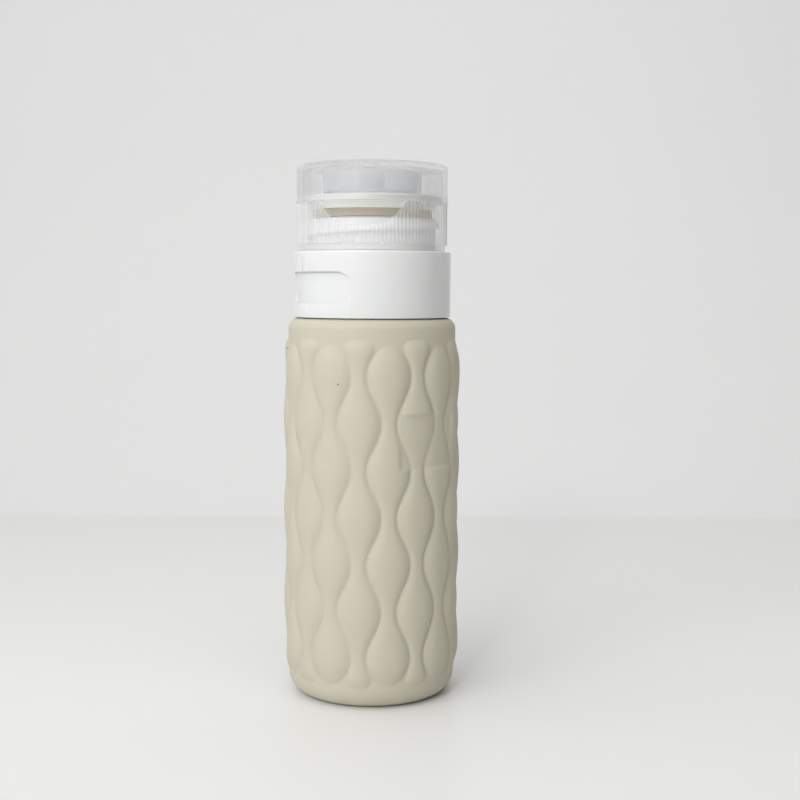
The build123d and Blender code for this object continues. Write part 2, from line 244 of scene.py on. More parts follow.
def add_object(name, vertices, faces, sharp_angle=None):
    mesh = bpy.data.meshes.new(name)
    mesh.from_pydata([tuple(v) for v in vertices], [], faces)
    build = bmesh.new()
    build.from_mesh(mesh)
    bmesh.ops.remove_doubles(build, verts=build.verts, dist=MERGE_DISTANCE)
    bmesh.ops.recalc_face_normals(build, faces=build.faces)
    build.to_mesh(mesh)
    build.free()
    smooth(mesh, sharp_angle)
    piece = bpy.data.objects.new(name, mesh)
    bpy.context.scene.collection.objects.link(piece)
    return piece


def smooth(mesh, sharp_angle=None):
    mesh.polygons.foreach_set("use_smooth", [True] * len(mesh.polygons))
    if sharp_angle is not None:
        mesh.set_sharp_from_angle(angle=math.radians(sharp_angle))
    mesh.update()


def lathe(name, outline, segments, closed=True, shape=None, sharp_angle=None):
    """Turns an outline about Z. An open outline starts and ends on the axis."""
    radii = np.array([point[0] for point in outline])[:, None]
    heights = np.array([point[1] for point in outline])[:, None]
    angles = np.linspace(0, 360, segments, endpoint=False)[None, :]
    radii, heights, angles = np.broadcast_arrays(radii, heights, angles)
    if shape:
        radii = shape(radii, angles, heights)
    turn = np.radians(angles)
    vertices = np.stack([radii * np.sin(turn), -radii * np.cos(turn), heights], axis=-1).reshape(-1, 3)
    rows = len(outline)
    faces = []
    for row in range(rows if closed else rows - 1):
        low, high = row * segments, (row + 1) % rows * segments
        for step in range(segments):
            after = (step + 1) % segments
            faces.append((low + step, low + after, high + after, high + step))
    return add_object(name, vertices, faces, sharp_angle)


def around(radius, angle, height):
    turn = math.radians(angle)
    return Vector((radius * math.sin(turn), -radius * math.cos(turn), height))


def flattened(radii, angles, flat):
    """Radii cut back so that nothing lies behind a flat at the back."""
    facing = -np.cos(np.radians(angles))
    limit = np.where(facing > FLAT_FACING_SHARE, flat / np.maximum(facing, FLAT_FACING_SHARE), np.inf)
    return np.minimum(radii, limit)


def slices(name, sections, sharp_angle=None):
    """A solid through rings of points, closed at both ends."""
    count = len(sections[0])
    vertices = [point for section in sections for point in section]
    faces = [tuple(range(count))[::-1], tuple(range(len(vertices) - count, len(vertices)))]
    for index in range(len(sections) - 1):
        low = index * count
        for step in range(count):
            after = (step + 1) % count
            faces.append((low + step, low + after, low + count + after, low + count + step))
    return add_object(name, vertices, faces, sharp_angle)


def cut(piece, cutter):
    """Takes the cutter away from the piece."""
    modifier = piece.modifiers.new("cut", "BOOLEAN")
    modifier.operation = "DIFFERENCE"
    modifier.solver = "EXACT"
    modifier.object = cutter
    graph = bpy.context.evaluated_depsgraph_get()
    graph.update()
    mesh = bpy.data.meshes.new_from_object(piece.evaluated_get(graph))
    piece.modifiers.clear()
    piece.data = mesh
    bpy.data.objects.remove(cutter)


def soften_rim(piece, is_chosen, width, kind=-1):
    """Bevels the sharp edges that lie in a chosen region; kind is the material slot of the new faces."""
    build = bmesh.new()
    build.from_mesh(piece.data)
    edges = []
    for edge in build.edges:
        is_sharp = len(edge.link_faces) == 2 and edge.calc_face_angle(0) > math.radians(RIM_SHARP_ANGLE)
        if is_sharp and all(is_chosen(vertex.co) for vertex in edge.verts):
            edges.append(edge)
    bmesh.ops.bevel(
        build,
        geom=edges,
        offset=width,
        segments=RIM_SEGMENTS,
        profile=RIM_PROFILE,
        affect="EDGES",
        clamp_overlap=True,
        material=kind,
    )
    bmesh.ops.remove_doubles(build, verts=build.verts, dist=RIM_MERGE_DISTANCE)
    bmesh.ops.dissolve_degenerate(build, edges=build.edges, dist=RIM_MERGE_DISTANCE)
    build.to_mesh(piece.data)
    build.free()


def join(name, pieces):
    """One object from several loose ones."""
    build = bmesh.new()
    for piece in pieces:
        build.from_mesh(piece.data)
    mesh = bpy.data.meshes.new(name)
    build.to_mesh(mesh)
    build.free()
    for piece in pieces:
        bpy.data.objects.remove(piece)
    joined = bpy.data.objects.new(name, mesh)
    bpy.context.scene.collection.objects.link(joined)
    return joined


# Materials

SILICONE_MOTTLE_TINT = 0.16
SILICONE_PAINTED_CREASE_SHADE = 0.45
SILICONE_LOW_ROUGHNESS = 0.5
SILICONE_HIGH_ROUGHNESS = 0.72
SILICONE_GRAIN_DEPTH = mm(0.02)
SILICONE_GRAIN_STRENGTH = 0.5
SPECK_SHADE_SHARE = 0.3
SPECK_TINT = 0.8
GASKET_SHADE_SHARE = 0.7
GLOSS_SHADE_SHARE = 0.9
GLOSS_RIM_HIGHLIGHT_COLOUR = (0.95, 0.96, 0.97)
GLOSS_RIM_HIGHLIGHT_SHARE = 0.25
GLOSS_DUST_TINT = 0.35
GLOSS_GRAIN_STRENGTH = 0.12
ROUGHNESS_SPREAD = 0.08
FINE_GRAIN_DEPTH = mm(0.01)
MILKY_SHADE_SHARE = 0.97
MILKY_MOTTLE_TINT = 0.6
MILKY_RIM_HIGHLIGHT_COLOUR = (1.0, 1.0, 1.0)
MILKY_FACING_BLEND = 0.35
MILKY_FACING_POWER = 2
MILKY_CLOUD = 0.08


def add_node(tree, kind, **values):
    node = tree.nodes.new(kind)
    for key, value in values.items():
        setattr(node, key, value)
    return node


def open_group(name, inputs, outputs):
    """A new shader node group with float sockets, and the nodes that bring them in and out."""
    group = bpy.data.node_groups.new(name, "ShaderNodeTree")
    for label, value in inputs.items():
        socket = group.interface.new_socket(name=label, in_out="INPUT", socket_type="NodeSocketFloat")
        socket.default_value = value
    for label in outputs:
        group.interface.new_socket(name=label, in_out="OUTPUT", socket_type="NodeSocketFloat")
    return group, add_node(group, "NodeGroupInput"), add_node(group, "NodeGroupOutput")


def feed(tree, socket, value):
    """Links an input to another node's output, or sets it to a number or a colour."""
    if isinstance(value, bpy.types.NodeSocket):
        tree.links.new(value, socket)
    elif socket.type == "RGBA":
        socket.default_value = (*value, 1)
    else:
        socket.default_value = value


def maths(tree, operation, first, second, clamp=False):
    """A Math node on sockets or numbers; gives its output."""
    node = add_node(tree, "ShaderNodeMath", operation=operation, use_clamp=clamp)
    feed(tree, node.inputs[0], first)
    feed(tree, node.inputs[1], second)
    return node.outputs[0]


def blend_colours(tree, factor, first, second):
    """A colour mix; gives its output."""
    node = add_node(tree, "ShaderNodeMix", data_type="RGBA", blend_type="MIX")
    feed(tree, node.inputs[0], factor)
    feed(tree, node.inputs[6], first)
    feed(tree, node.inputs[7], second)
    return node.outputs[2]


def tinted(tree, mask, amount, first, second):
    """The first colour, blended towards the second by an amount of the mask."""
    return blend_colours(tree, maths(tree, "MULTIPLY", mask, amount), first, second)


def darker(pale, share_kept):
    return tuple(channel * share_kept for channel in pale)


def grain_group():
    """Fine moulded grain: a height for bump and a slow mottle for tint and roughness."""
    name = "moulded grain"
    if name in bpy.data.node_groups:
        return bpy.data.node_groups[name]
    scales = {"Grain Scale": 2600.0, "Mottle Scale": 90.0}
    group, source, result = open_group(name, scales, ("Height", "Mottle"))
    place = add_node(group, "ShaderNodeTexCoord")
    fine = add_node(group, "ShaderNodeTexNoise")
    fine.inputs["Detail"].default_value = 3
    slow = add_node(group, "ShaderNodeTexNoise")
    slow.inputs["Detail"].default_value = 4
    slow.inputs["Roughness"].default_value = 0.6
    for noise, scale, result_name in ((fine, "Grain Scale", "Height"), (slow, "Mottle Scale", "Mottle")):
        group.links.new(place.outputs["Object"], noise.inputs["Vector"])
        group.links.new(source.outputs[scale], noise.inputs["Scale"])
        group.links.new(noise.outputs["Fac"], result.inputs[result_name])
    return group


def specks_group():
    """Sparse dust: a mask of small dots scattered over the surface."""
    name = "dust specks"
    if name in bpy.data.node_groups:
        return bpy.data.node_groups[name]
    dots = {"Scale": 260.0, "Size": 0.06, "Amount": 0.1}
    group, source, result = open_group(name, dots, ("Mask",))
    place = add_node(group, "ShaderNodeTexCoord")
    cells = add_node(group, "ShaderNodeTexVoronoi", feature="F1")
    group.links.new(place.outputs["Object"], cells.inputs["Vector"])
    group.links.new(source.outputs["Scale"], cells.inputs["Scale"])
    near = maths(group, "LESS_THAN", cells.outputs["Distance"], source.outputs["Size"])
    parts = add_node(group, "ShaderNodeSeparateColor")
    group.links.new(cells.outputs["Color"], parts.inputs[0])
    chosen = maths(group, "LESS_THAN", parts.outputs[0], source.outputs["Amount"])
    group.links.new(maths(group, "MULTIPLY", near, chosen), result.inputs["Mask"])
    return group


def edges_group():
    """Rims and creases from the surface's own curvature, each as a mask; the rims carry painted highlights
    and the creases painted shade.
    """
    name = "rims and creases"
    if name in bpy.data.node_groups:
        return bpy.data.node_groups[name]
    group, source, result = open_group(name, {"Strength": 6.0}, ("Rims", "Creases"))
    geometry = add_node(group, "ShaderNodeNewGeometry")
    offset = maths(group, "SUBTRACT", geometry.outputs["Pointiness"], 0.5)
    scaled = maths(group, "MULTIPLY", offset, source.outputs["Strength"])
    for label, sign in (("Rims", 1), ("Creases", -1)):
        group.links.new(maths(group, "MULTIPLY", scaled, sign, clamp=True), result.inputs[label])
    return group


def place_group(tree, group, **values):
    node = add_node(tree, "ShaderNodeGroup", node_tree=group)
    for label, value in values.items():
        node.inputs[label.replace("_", " ").title()].default_value = value
    return node


def new_material(name, **values):
    """A material with a Principled shader whose number sockets are set by name."""
    surface = bpy.data.materials.new(name)
    surface.use_nodes = True
    shader = surface.node_tree.nodes["Principled BSDF"]
    for label, value in values.items():
        shader.inputs[label.replace("_", " ")].default_value = value
    return surface, surface.node_tree, shader


def add_bump(tree, shader, height, distance, strength):
    bump = add_node(tree, "ShaderNodeBump")
    bump.inputs["Strength"].default_value = strength
    bump.inputs["Distance"].default_value = distance
    tree.links.new(height, bump.inputs["Height"])
    tree.links.new(bump.outputs["Normal"], shader.inputs["Normal"])


def roughness_from(tree, shader, mask, low, high):
    spread = maths(tree, "MULTIPLY", mask, high - low)
    tree.links.new(maths(tree, "ADD", spread, low), shader.inputs["Roughness"])


def silicone_material(name, base, crease_shade, rim, rim_share, speck_amount):
    """Matte silicone with a fine grain, painted shade in its creases, a painted highlight on its rims where
    rim_share asks for one, and, where asked for, dust specks.
    """
    surface, tree, shader = new_material(
        name,
        Specular_IOR_Level=0.22,
        Subsurface_Weight=0.12,
        Subsurface_Scale=mm(1.2),
    )
    grain = place_group(tree, grain_group(), grain_scale=2400.0, mottle_scale=70.0)
    edges = place_group(tree, edges_group(), strength=5.0)
    specks = place_group(tree, specks_group(), scale=190.0, size=0.05, amount=speck_amount)
    mottled = tinted(tree, grain.outputs["Mottle"], SILICONE_MOTTLE_TINT, base, crease_shade)
    # Painted shade: the creases are darkened towards the crease shade colour.
    creased = tinted(tree, edges.outputs["Creases"], SILICONE_PAINTED_CREASE_SHADE, mottled, crease_shade)
    speck_colour = darker(crease_shade, SPECK_SHADE_SHARE)
    speckled = tinted(tree, specks.outputs["Mask"], SPECK_TINT, creased, speck_colour)
    # Painted highlight: the rims are lightened towards the rim colour.
    rimmed = tinted(tree, edges.outputs["Rims"], rim_share, speckled, rim)
    tree.links.new(rimmed, shader.inputs["Base Color"])
    roughness_from(tree, shader, grain.outputs["Mottle"], SILICONE_LOW_ROUGHNESS, SILICONE_HIGH_ROUGHNESS)
    add_bump(tree, shader, grain.outputs["Height"], SILICONE_GRAIN_DEPTH, SILICONE_GRAIN_STRENGTH)
    return surface


def gloss_material(name, base, roughness, mottle_tint=0.03, subsurface=0.1):
    """Glossy or satin moulded plastic with a painted highlight along its rims and a little dust."""
    surface, tree, shader = new_material(
        name, Specular_IOR_Level=0.5, Subsurface_Weight=subsurface, Subsurface_Scale=mm(1.5)
    )
    grain = place_group(tree, grain_group(), grain_scale=700.0, mottle_scale=45.0)
    edges = place_group(tree, edges_group(), strength=4.0)
    specks = place_group(tree, specks_group(), scale=300.0, size=0.05, amount=0.02)
    shaded = darker(base, GLOSS_SHADE_SHARE)
    mottled = tinted(tree, grain.outputs["Mottle"], mottle_tint, base, shaded)
    # Painted highlight: the rims are lightened towards a near-white colour.
    rimmed = tinted(tree, edges.outputs["Rims"], GLOSS_RIM_HIGHLIGHT_SHARE, mottled, GLOSS_RIM_HIGHLIGHT_COLOUR)
    dusty = tinted(tree, specks.outputs["Mask"], GLOSS_DUST_TINT, rimmed, shaded)
    tree.links.new(dusty, shader.inputs["Base Color"])
    roughness_from(tree, shader, grain.outputs["Mottle"], roughness, roughness + ROUGHNESS_SPREAD)
    add_bump(tree, shader, grain.outputs["Height"], FINE_GRAIN_DEPTH, GLOSS_GRAIN_STRENGTH)
    return surface


def milky_material(name, base, roughness, thin, thick, bump, clear_share=0.0, polish=0.0, rim_share=0.3):
    """Milky plastic: see-through where it is looked at squarely, and denser along its edges, with a painted
    white highlight on its rims.

    thin and thick are the shares of what lies behind that it hides, looked at squarely and edge-on.
    clear_share is how much of what it stops is bent through it, as by clear plastic, and not scattered.
    """
    surface, tree, shader = new_material(
        name,
        IOR=1.45,
        Specular_IOR_Level=0.5 + polish / 2,
        Transmission_Weight=clear_share,
        Coat_Weight=polish,
        Coat_Roughness=0.12,
    )
    grain = place_group(tree, grain_group(), grain_scale=1600.0, mottle_scale=60.0)
    edges = place_group(tree, edges_group(), strength=3.0)
    clouded = darker(base, MILKY_SHADE_SHARE)
    mottled = tinted(tree, grain.outputs["Mottle"], MILKY_MOTTLE_TINT, base, clouded)
    # Painted highlight: the rims are blended to white; further down they are also made denser.
    rimmed = tinted(tree, edges.outputs["Rims"], rim_share, mottled, MILKY_RIM_HIGHLIGHT_COLOUR)
    tree.links.new(rimmed, shader.inputs["Base Color"])
    roughness_from(tree, shader, grain.outputs["Mottle"], roughness, roughness + ROUGHNESS_SPREAD)
    add_bump(tree, shader, grain.outputs["Height"], FINE_GRAIN_DEPTH, bump)
    grazing = add_node(tree, "ShaderNodeLayerWeight")
    grazing.inputs["Blend"].default_value = MILKY_FACING_BLEND
    edge_on = maths(tree, "POWER", grazing.outputs["Facing"], MILKY_FACING_POWER)
    spread = maths(tree, "MULTIPLY", edge_on, thick - thin)
    cloud = maths(tree, "MULTIPLY", grain.outputs["Mottle"], MILKY_CLOUD)
    rim = maths(tree, "MULTIPLY", edges.outputs["Rims"], rim_share)
    density = maths(tree, "ADD", maths(tree, "ADD", spread, thin - MILKY_CLOUD / 2), cloud)
    tree.links.new(maths(tree, "ADD", density, rim, clamp=True), shader.inputs["Alpha"])
    return surface


def recipes():
    """How each material is made: its maker, its colour and the maker's other values."""
    tint = colours()
    # Painted light on the silicone: the body's creases get painted shade and no rim highlight; the gasket's
    # creases get painted shade and its rounded edges a painted warm highlight.
    body = dict(crease_shade=tint.valley, rim=tint.silicone, rim_share=0.0, speck_amount=0.1)
    gasket_crease_shade = darker(tint.gasket, GASKET_SHADE_SHARE)
    gasket = dict(crease_shade=gasket_crease_shade, rim=(0.9, 0.84, 0.68), rim_share=1.0, speck_amount=0.0)
    deck = dict(roughness=0.16, thin=0.65, thick=0.95, bump=0.05, polish=0.6, rim_share=0.0)
    lid = dict(roughness=0.2, thin=0.14, thick=0.97, bump=0.1, clear_share=0.75)
    inside = dict(roughness=0.1, thin=0.1, thick=0.25, bump=0.05, clear_share=0.3)
    edge = dict(roughness=0.3, thin=0.8, thick=0.95, bump=0.1)
    valve = dict(roughness=0.35, thin=0.7, thick=0.9, bump=0.2)
    return {
        "matte_silicone": (silicone_material, tint.silicone, body),
        "gasket_silicone": (silicone_material, tint.gasket, gasket),
        "collar_gloss": (gloss_material, tint.collar, dict(roughness=0.16, subsurface=0.3)),
        "label_gloss": (gloss_material, tint.label, dict(roughness=0.22)),
        "label_dots": (gloss_material, (0.32, 0.35, 0.38), dict(roughness=0.3)),
        "neck_satin": (gloss_material, tint.neck, dict(roughness=0.34, mottle_tint=0.1, subsurface=0.0)),
        "frosted_ribs": (milky_material, tint.frosted, dict(roughness=0.3, thin=0.3, thick=0.47, bump=0.3)),
        "frosted_edge": (milky_material, (1.0, 1.0, 1.0), edge),
        # The cap's rim frost over the gasket: dense, with a warm cream colour that is a painted glow.
        "frosted_rim": (milky_material, tint.rim, dict(roughness=0.2, thin=0.46, thick=0.56, bump=0.1)),
        "frosted_lid": (milky_material, tint.lid, lid),
        "frosted_ring": (milky_material, tint.ring, dict(roughness=0.2, thin=0.36, thick=0.7, bump=0.15)),
        "polished_deck": (milky_material, (0.97, 0.97, 0.97), deck),
        "clear_inside": (milky_material, tint.frosted, inside),
        "valve_clear": (milky_material, (0.9, 0.9, 0.89), valve),
    }


def material(kind):
    """One of the bottle's materials, made when it is first asked for."""
    if kind in bpy.data.materials:
        return bpy.data.materials[kind]
    maker, base, values = recipes()[kind]
    return maker(kind, base, **values)


def dress(piece, body, kinds, replaced):
    """Gives a piece its materials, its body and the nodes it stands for."""
    for kind in kinds:
        piece.data.materials.append(material(kind))
    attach(piece, body)
    if replaced:
        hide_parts(*replaced)


# Screw thread

THREAD_LEAD = mm(5.1)
THREAD_ROOT_WIDTH = mm(2.0)
THREAD_CREST_WIDTH = mm(1.2)
THREAD_EDGE_GAP = mm(0.3)
THREAD_DEPTH = mm(1.0)
THREAD_START_ANGLE = 125
THREAD_FADE_ANGLE = 24
THREAD_ROWS = 64
CAP_THREAD_OFFSET = 120
BEAD_HEIGHT = mm(0.68)


def thread_place():
    """The start height and the rise of the screw thread's centre line, from the neck and the sleeve."""
    sleeve_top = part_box("label_sleeve")[1].z
    neck_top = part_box("threaded_neck")[1].z
    start = sleeve_top + BEAD_HEIGHT + THREAD_EDGE_GAP + THREAD_ROOT_WIDTH / 2
    return start, neck_top - THREAD_EDGE_GAP - THREAD_ROOT_WIDTH / 2 - start


def thread_share(angles, heights, start_angle):
    """How far the screw thread's ridge stands up at each place: 0 beside it, 1 on its crest."""
    bottom, rise = thread_place()
    whole = rise / THREAD_LEAD * 360
    flank = (THREAD_ROOT_WIDTH - THREAD_CREST_WIDTH) / 2
    share_up = np.zeros_like(angles)
    for turn in range(math.ceil(whole / 360)):
        travelled = np.mod(angles - start_angle, 360) + 360 * turn
        off_centre = np.abs(heights - bottom - THREAD_LEAD * travelled / 360)
        ridge = np.clip((THREAD_ROOT_WIDTH / 2 - off_centre) / flank, 0, 1)
        fade = np.clip(np.minimum(travelled, whole - travelled) / THREAD_FADE_ANGLE, 0, 1)
        share_up = np.maximum(share_up, ridge * fade)
    return share_up


# Silicone body

PILLOW_ACROSS_POWER = 2.8
PILLOW_END_POWER = 2.2
PILLOW_SIDE_POWER = 0.95
PANEL_MIDDLE_ANGLE = 49.5
PANEL_HALF_ANGLE = 22.7
PANEL_MIDDLE_HEIGHT = mm(65.85)
PANEL_HALF_HEIGHT = mm(6.55)
PANEL_SIDE_BORDER = mm(1.5)
PANEL_END_BORDER = mm(0.7)
PANEL_FLATTEN_SHARE = 0.56
PANEL_LEVEL = mm(0.12)
SEGMENTS_PER_COLUMN = 22
RELIEF_ROWS = 240
FOOT_STEPS = 14
SHOULDER_STEPS = 12
RECESS_SLOPE_SHARE = 0.6


def pillow_rise(angle, height):
    """How far the pillows stand out of the plain wall, over arrays of angles and heights."""
    p = pillows()
    pitch = 360 / p.columns
    wave = (p.high_bulb - p.low_bulb) / p.waves
    nearest = np.round(angle / pitch)
    rise = np.zeros_like(angle)
    for neighbour in (-1, 0, 1):
        column = nearest + neighbour
        is_bulb_column = np.mod(column, 2) == 1
        side = np.where(is_bulb_column, 1, -1)
        swell = side * np.cos(2 * math.pi * (height - p.low_bulb) / wave)
        half_width = pitch / 2 * (1 + 2 * p.swing * swell)
        across = np.abs(angle - column * pitch) / half_width
        bottom = p.bottom + np.where(is_bulb_column, p.bulb_bottom_inset, 0)
        top = p.top - np.where(is_bulb_column, p.bulb_top_inset, 0)
        end_length = np.where(is_bulb_column, p.bulb_end, p.flare_end)
        into_top = (height - (top - end_length)) / end_length
        into_bottom = (bottom + end_length - height) / end_length
        into_end = np.clip(np.maximum(into_top, into_bottom), 0, None)
        dome = 1 - across**PILLOW_ACROSS_POWER - into_end**PILLOW_END_POWER
        width_share = (1 + 2 * p.swing * swell) / (1 + 2 * p.swing)
        crest = p.proud * (p.narrow + (1 - p.narrow) * width_share)
        rise = np.maximum(rise, crest * np.clip(dome, 0, 1) ** PILLOW_SIDE_POWER)
    return rise


def panel_share(angle, height):
    """How far a place lies inside the flattened panel: 0 outside, 1 inside, soft at its border."""
    share_inside = np.ones_like(angle)
    side_border_angle = math.degrees(PANEL_SIDE_BORDER / sizes().radius)
    for distance, border in (
        (PANEL_HALF_ANGLE - np.abs(angle - PANEL_MIDDLE_ANGLE), side_border_angle),
        (PANEL_HALF_HEIGHT - np.abs(height - PANEL_MIDDLE_HEIGHT), PANEL_END_BORDER),
    ):
        share_inside *= np.clip(distance / border + 0.5, 0, 1)
    return share_inside * share_inside * (3 - 2 * share_inside)


def silicone_shape(radii, angles, heights):
    is_outside = radii > sizes().radius - SAME_PLACE
    flat = panel_share(angles, heights)
    rise = pillow_rise(angles, heights) * (1 - flat * PANEL_FLATTEN_SHARE) + flat * PANEL_LEVEL
    return np.where(is_outside, radii + rise, radii)


class BOTTLE_OT_silicone_body(bpy.types.Operator):
    """Models the squeezable silicone body with its wavy pillows"""

    bl_idname = "bottle.silicone_body"
    bl_label = "Silicone body"

    def execute(self, context):
        s = sizes()
        neck_top = s.height + s.neck_height
        ceiling = s.height - s.shoulder
        inside = s.radius - s.wall
        neck = rounded(
            [
                (s.radius - s.shoulder_round, s.height, 0),
                (s.neck_outer, s.height, SMALL_ROUND),
                (s.neck_outer, neck_top, PLAIN_ROUND),
                (s.neck_inner, neck_top, PLAIN_ROUND),
                (s.neck_inner, ceiling, PLAIN_ROUND),
                (inside, ceiling, s.inside_round),
                (inside, s.floor, s.inside_round),
                (0, s.floor, 0),
            ],
            steps=FINE_ROUND_STEPS,
            closed=False,
        )
        outline = self.outside() + neck[1:]
        segments = pillows().columns * SEGMENTS_PER_COLUMN
        body = lathe("silicone_body", outline, segments, closed=False, shape=silicone_shape)
        dress(body, "bottle", ["matte_silicone"], ["silicone_bottle"])
        return {"FINISHED"}

    def outside(self):
        """The outline from the middle of the foot up to the flat of the shoulder."""
        s = sizes()
        foot_flat = s.radius - s.foot_round
        shoulder_flat = s.radius - s.shoulder_round
        shoulder_start = s.height - s.shoulder_round
        slope = s.recess_depth * RECESS_SLOPE_SHARE
        recess = rounded(
            [
                (0, s.recess_depth, 0),
                (s.recess_radius - slope, s.recess_depth, FULL_ROUND),
                (s.recess_radius + slope, 0, SOFT_ROUND),
                (foot_flat, 0, 0),
            ],
            closed=False,
        )
        points = recess[:-1]
        points += arc((foot_flat, 0), (foot_flat, s.foot_round), 90, FOOT_STEPS)
        points += stretch((s.radius, s.foot_round), (s.radius, shoulder_start), RELIEF_ROWS)
        points += arc((s.radius, shoulder_start), (shoulder_flat, shoulder_start), 90, SHOULDER_STEPS)
        return points


# Neck, label ring and sleeve

SEAT_CLEARANCE = mm(0.05)
RUNNING_CLEARANCE = mm(0.08)
NECK_TUBE_WALL = mm(1.1)
NECK_THREAD_WALL = mm(1.85)
NECK_DRUM_WALL = mm(1.0)
NECK_WEB = mm(1.5)
BEAD_WIDTH = mm(0.9)
BEAD_FLAT = mm(0.3)
BEAD_SLOPED = mm(0.6)
LABEL_WALL = mm(0.97)
LABEL_SEGMENTS = 256
LABEL_FIELDS = 4
DOT_RADIUS = mm(1.1)
DOT_PROUD = mm(0.03)
DOT_SUNK = mm(0.1)
DOT_SPACING_ANGLE = 10
DOT_SEGMENTS = 32
SLEEVE_WALL = mm(0.85)
SLEEVE_DRAFT = mm(0.09)
SLEEVE_FLANGE_WIDTH = mm(2.6)
SLEEVE_FLANGE_THICKNESS = mm(1.0)
SLEEVE_SHARP_ANGLE = 45
WINDOW_MIDDLE_ANGLE = -51
WINDOW_HALF_ANGLE = 45
WINDOW_MIDDLE_HEIGHT = mm(103.125)
WINDOW_HALF_HEIGHT = mm(3.875)
WINDOW_ROUND = mm(0.26)
WINDOW_END_STEPS = 16
WINDOW_STRAIGHT_STEPS = 40


class BOTTLE_OT_neck(bpy.types.Operator):
    """Models the rigid neck with its drum, bead and thread"""

    bl_idname = "bottle.neck"
    bl_label = "Threaded neck"

    def execute(self, context):
        s = sizes()
        low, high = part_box("threaded_neck")
        band_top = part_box("label_band")[1].z
        drum, drum_inner = high.x, high.x - NECK_DRUM_WALL
        tube_outer = s.neck_inner - SEAT_CLEARANCE
        tube_inner = tube_outer - NECK_TUBE_WALL
        root = tube_inner + NECK_THREAD_WALL
        bead = root + BEAD_WIDTH
        drum_low = s.height + SEAT_CLEARANCE
        web_low = s.height + s.neck_height + SEAT_CLEARANCE
        web_high = web_low + NECK_WEB
        bead_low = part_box("label_sleeve")[1].z + RUNNING_CLEARANCE
        corners = [
            (tube_inner, low.z, FINE_ROUND),
            (tube_outer, low.z, FINE_ROUND),
            (tube_outer, web_low, FINE_ROUND),
            (drum_inner, web_low, FINE_ROUND),
            (drum_inner, drum_low, FINE_ROUND),
            (drum, drum_low, FINE_ROUND),
            (drum, band_top, FINE_ROUND),
            (drum_inner, band_top, FINE_ROUND),
            (drum_inner, web_high, FINE_ROUND),
            (root, web_high, FINE_ROUND),
            (root, bead_low, HAIR_ROUND),
            (bead, bead_low, FINE_ROUND),
            (bead, bead_low + BEAD_FLAT, FINE_ROUND),
            (root, bead_low + BEAD_SLOPED, FINE_ROUND),
            (root, high.z, MOUTH_ROUND),
            (tube_inner, high.z, MOUTH_ROUND),
        ]
        outline = rounded(corners, rows={corners.index((root, high.z, MOUTH_ROUND)): THREAD_ROWS})

        def neck_shape(radii, angles, heights):
            is_thread = (np.abs(radii - root) < SAME_PLACE) & (heights > bead_low + BEAD_FLAT)
            ridge = thread_share(angles, heights, THREAD_START_ANGLE)
            return np.where(is_thread, root + THREAD_DEPTH * ridge, radii)

        neck = lathe("neck_insert", outline, ROUND_SEGMENTS, shape=neck_shape, sharp_angle=SHARP_ANGLE)
        dress(neck, "bottle", ["neck_satin"], ["threaded_neck"])
        return {"FINISHED"}


class BOTTLE_OT_label_ring(bpy.types.Operator):
    """Models the fixed ring that shows in the sleeve's window, with plain dots in its other fields"""

    bl_idname = "bottle.label_ring"
    bl_label = "Label ring"

    def execute(self, context):
        low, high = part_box("label_band")
        outline = band(high.x - LABEL_WALL, high.x, low.z, high.z, EDGE_ROUND)
        ring = lathe("label_ring", outline, LABEL_SEGMENTS, sharp_angle=SHARP_ANGLE)
        dress(ring, "bottle", ["label_gloss"], ["label_band"])
        for field in range(1, LABEL_FIELDS):
            dots = []
            for index in range(field):
                along = (index - (field - 1) / 2) * DOT_SPACING_ANGLE
                angle = WINDOW_MIDDLE_ANGLE + 360 / LABEL_FIELDS * field + along
                dots.append(self.dot(high.x, angle, WINDOW_MIDDLE_HEIGHT))
            marks = join(f"label_dots_{field}", dots)
            smooth(marks.data, SHARP_ANGLE)
            dress(marks, "bottle", ["label_dots"], [])
        return {"FINISHED"}

    def dot(self, radius, angle, height):
        """A small flat button that stands a hair out of the ring."""
        outline = [(0, -DOT_SUNK), (DOT_RADIUS, -DOT_SUNK), (DOT_RADIUS, DOT_PROUD / 2)]
        outline += [(DOT_RADIUS - DOT_PROUD, DOT_PROUD), (0, DOT_PROUD)]
        button = lathe("dot", outline, DOT_SEGMENTS, closed=False)
        lean = Matrix.Rotation(math.radians(angle), 4, "Z") @ Matrix.Rotation(math.radians(90), 4, "X")
        button.data.transform(Matrix.Translation(around(radius, angle, height)) @ lean)
        return button


def window_cutter(inner, outer):
    """A stadium-shaped block that follows the sleeve's curve."""
    end_angle = WINDOW_HALF_ANGLE - math.degrees(WINDOW_HALF_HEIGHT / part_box("label_sleeve")[1].x)
    places = []
    for step in range(1, WINDOW_END_STEPS + 1):
        turn = math.radians(90 * step / WINDOW_END_STEPS)
        share_along = 1 - math.cos(turn)
        places.append((-WINDOW_HALF_ANGLE + (WINDOW_HALF_ANGLE - end_angle) * share_along, math.sin(turn)))
    for step in range(1, WINDOW_STRAIGHT_STEPS):
        places.append((-end_angle + 2 * end_angle * step / WINDOW_STRAIGHT_STEPS, 1))
    places += [(-angle, height) for angle, height in places[WINDOW_END_STEPS - 1 :: -1]]
    sections = []
    for angle, half in places:
        section = []
        for radius, up in ((inner, -half), (outer, -half), (outer, half), (inner, half)):
            height = WINDOW_MIDDLE_HEIGHT + WINDOW_HALF_HEIGHT * up
            section.append(around(radius, WINDOW_MIDDLE_ANGLE + angle, height))
        sections.append(section)
    return slices("window", sections)


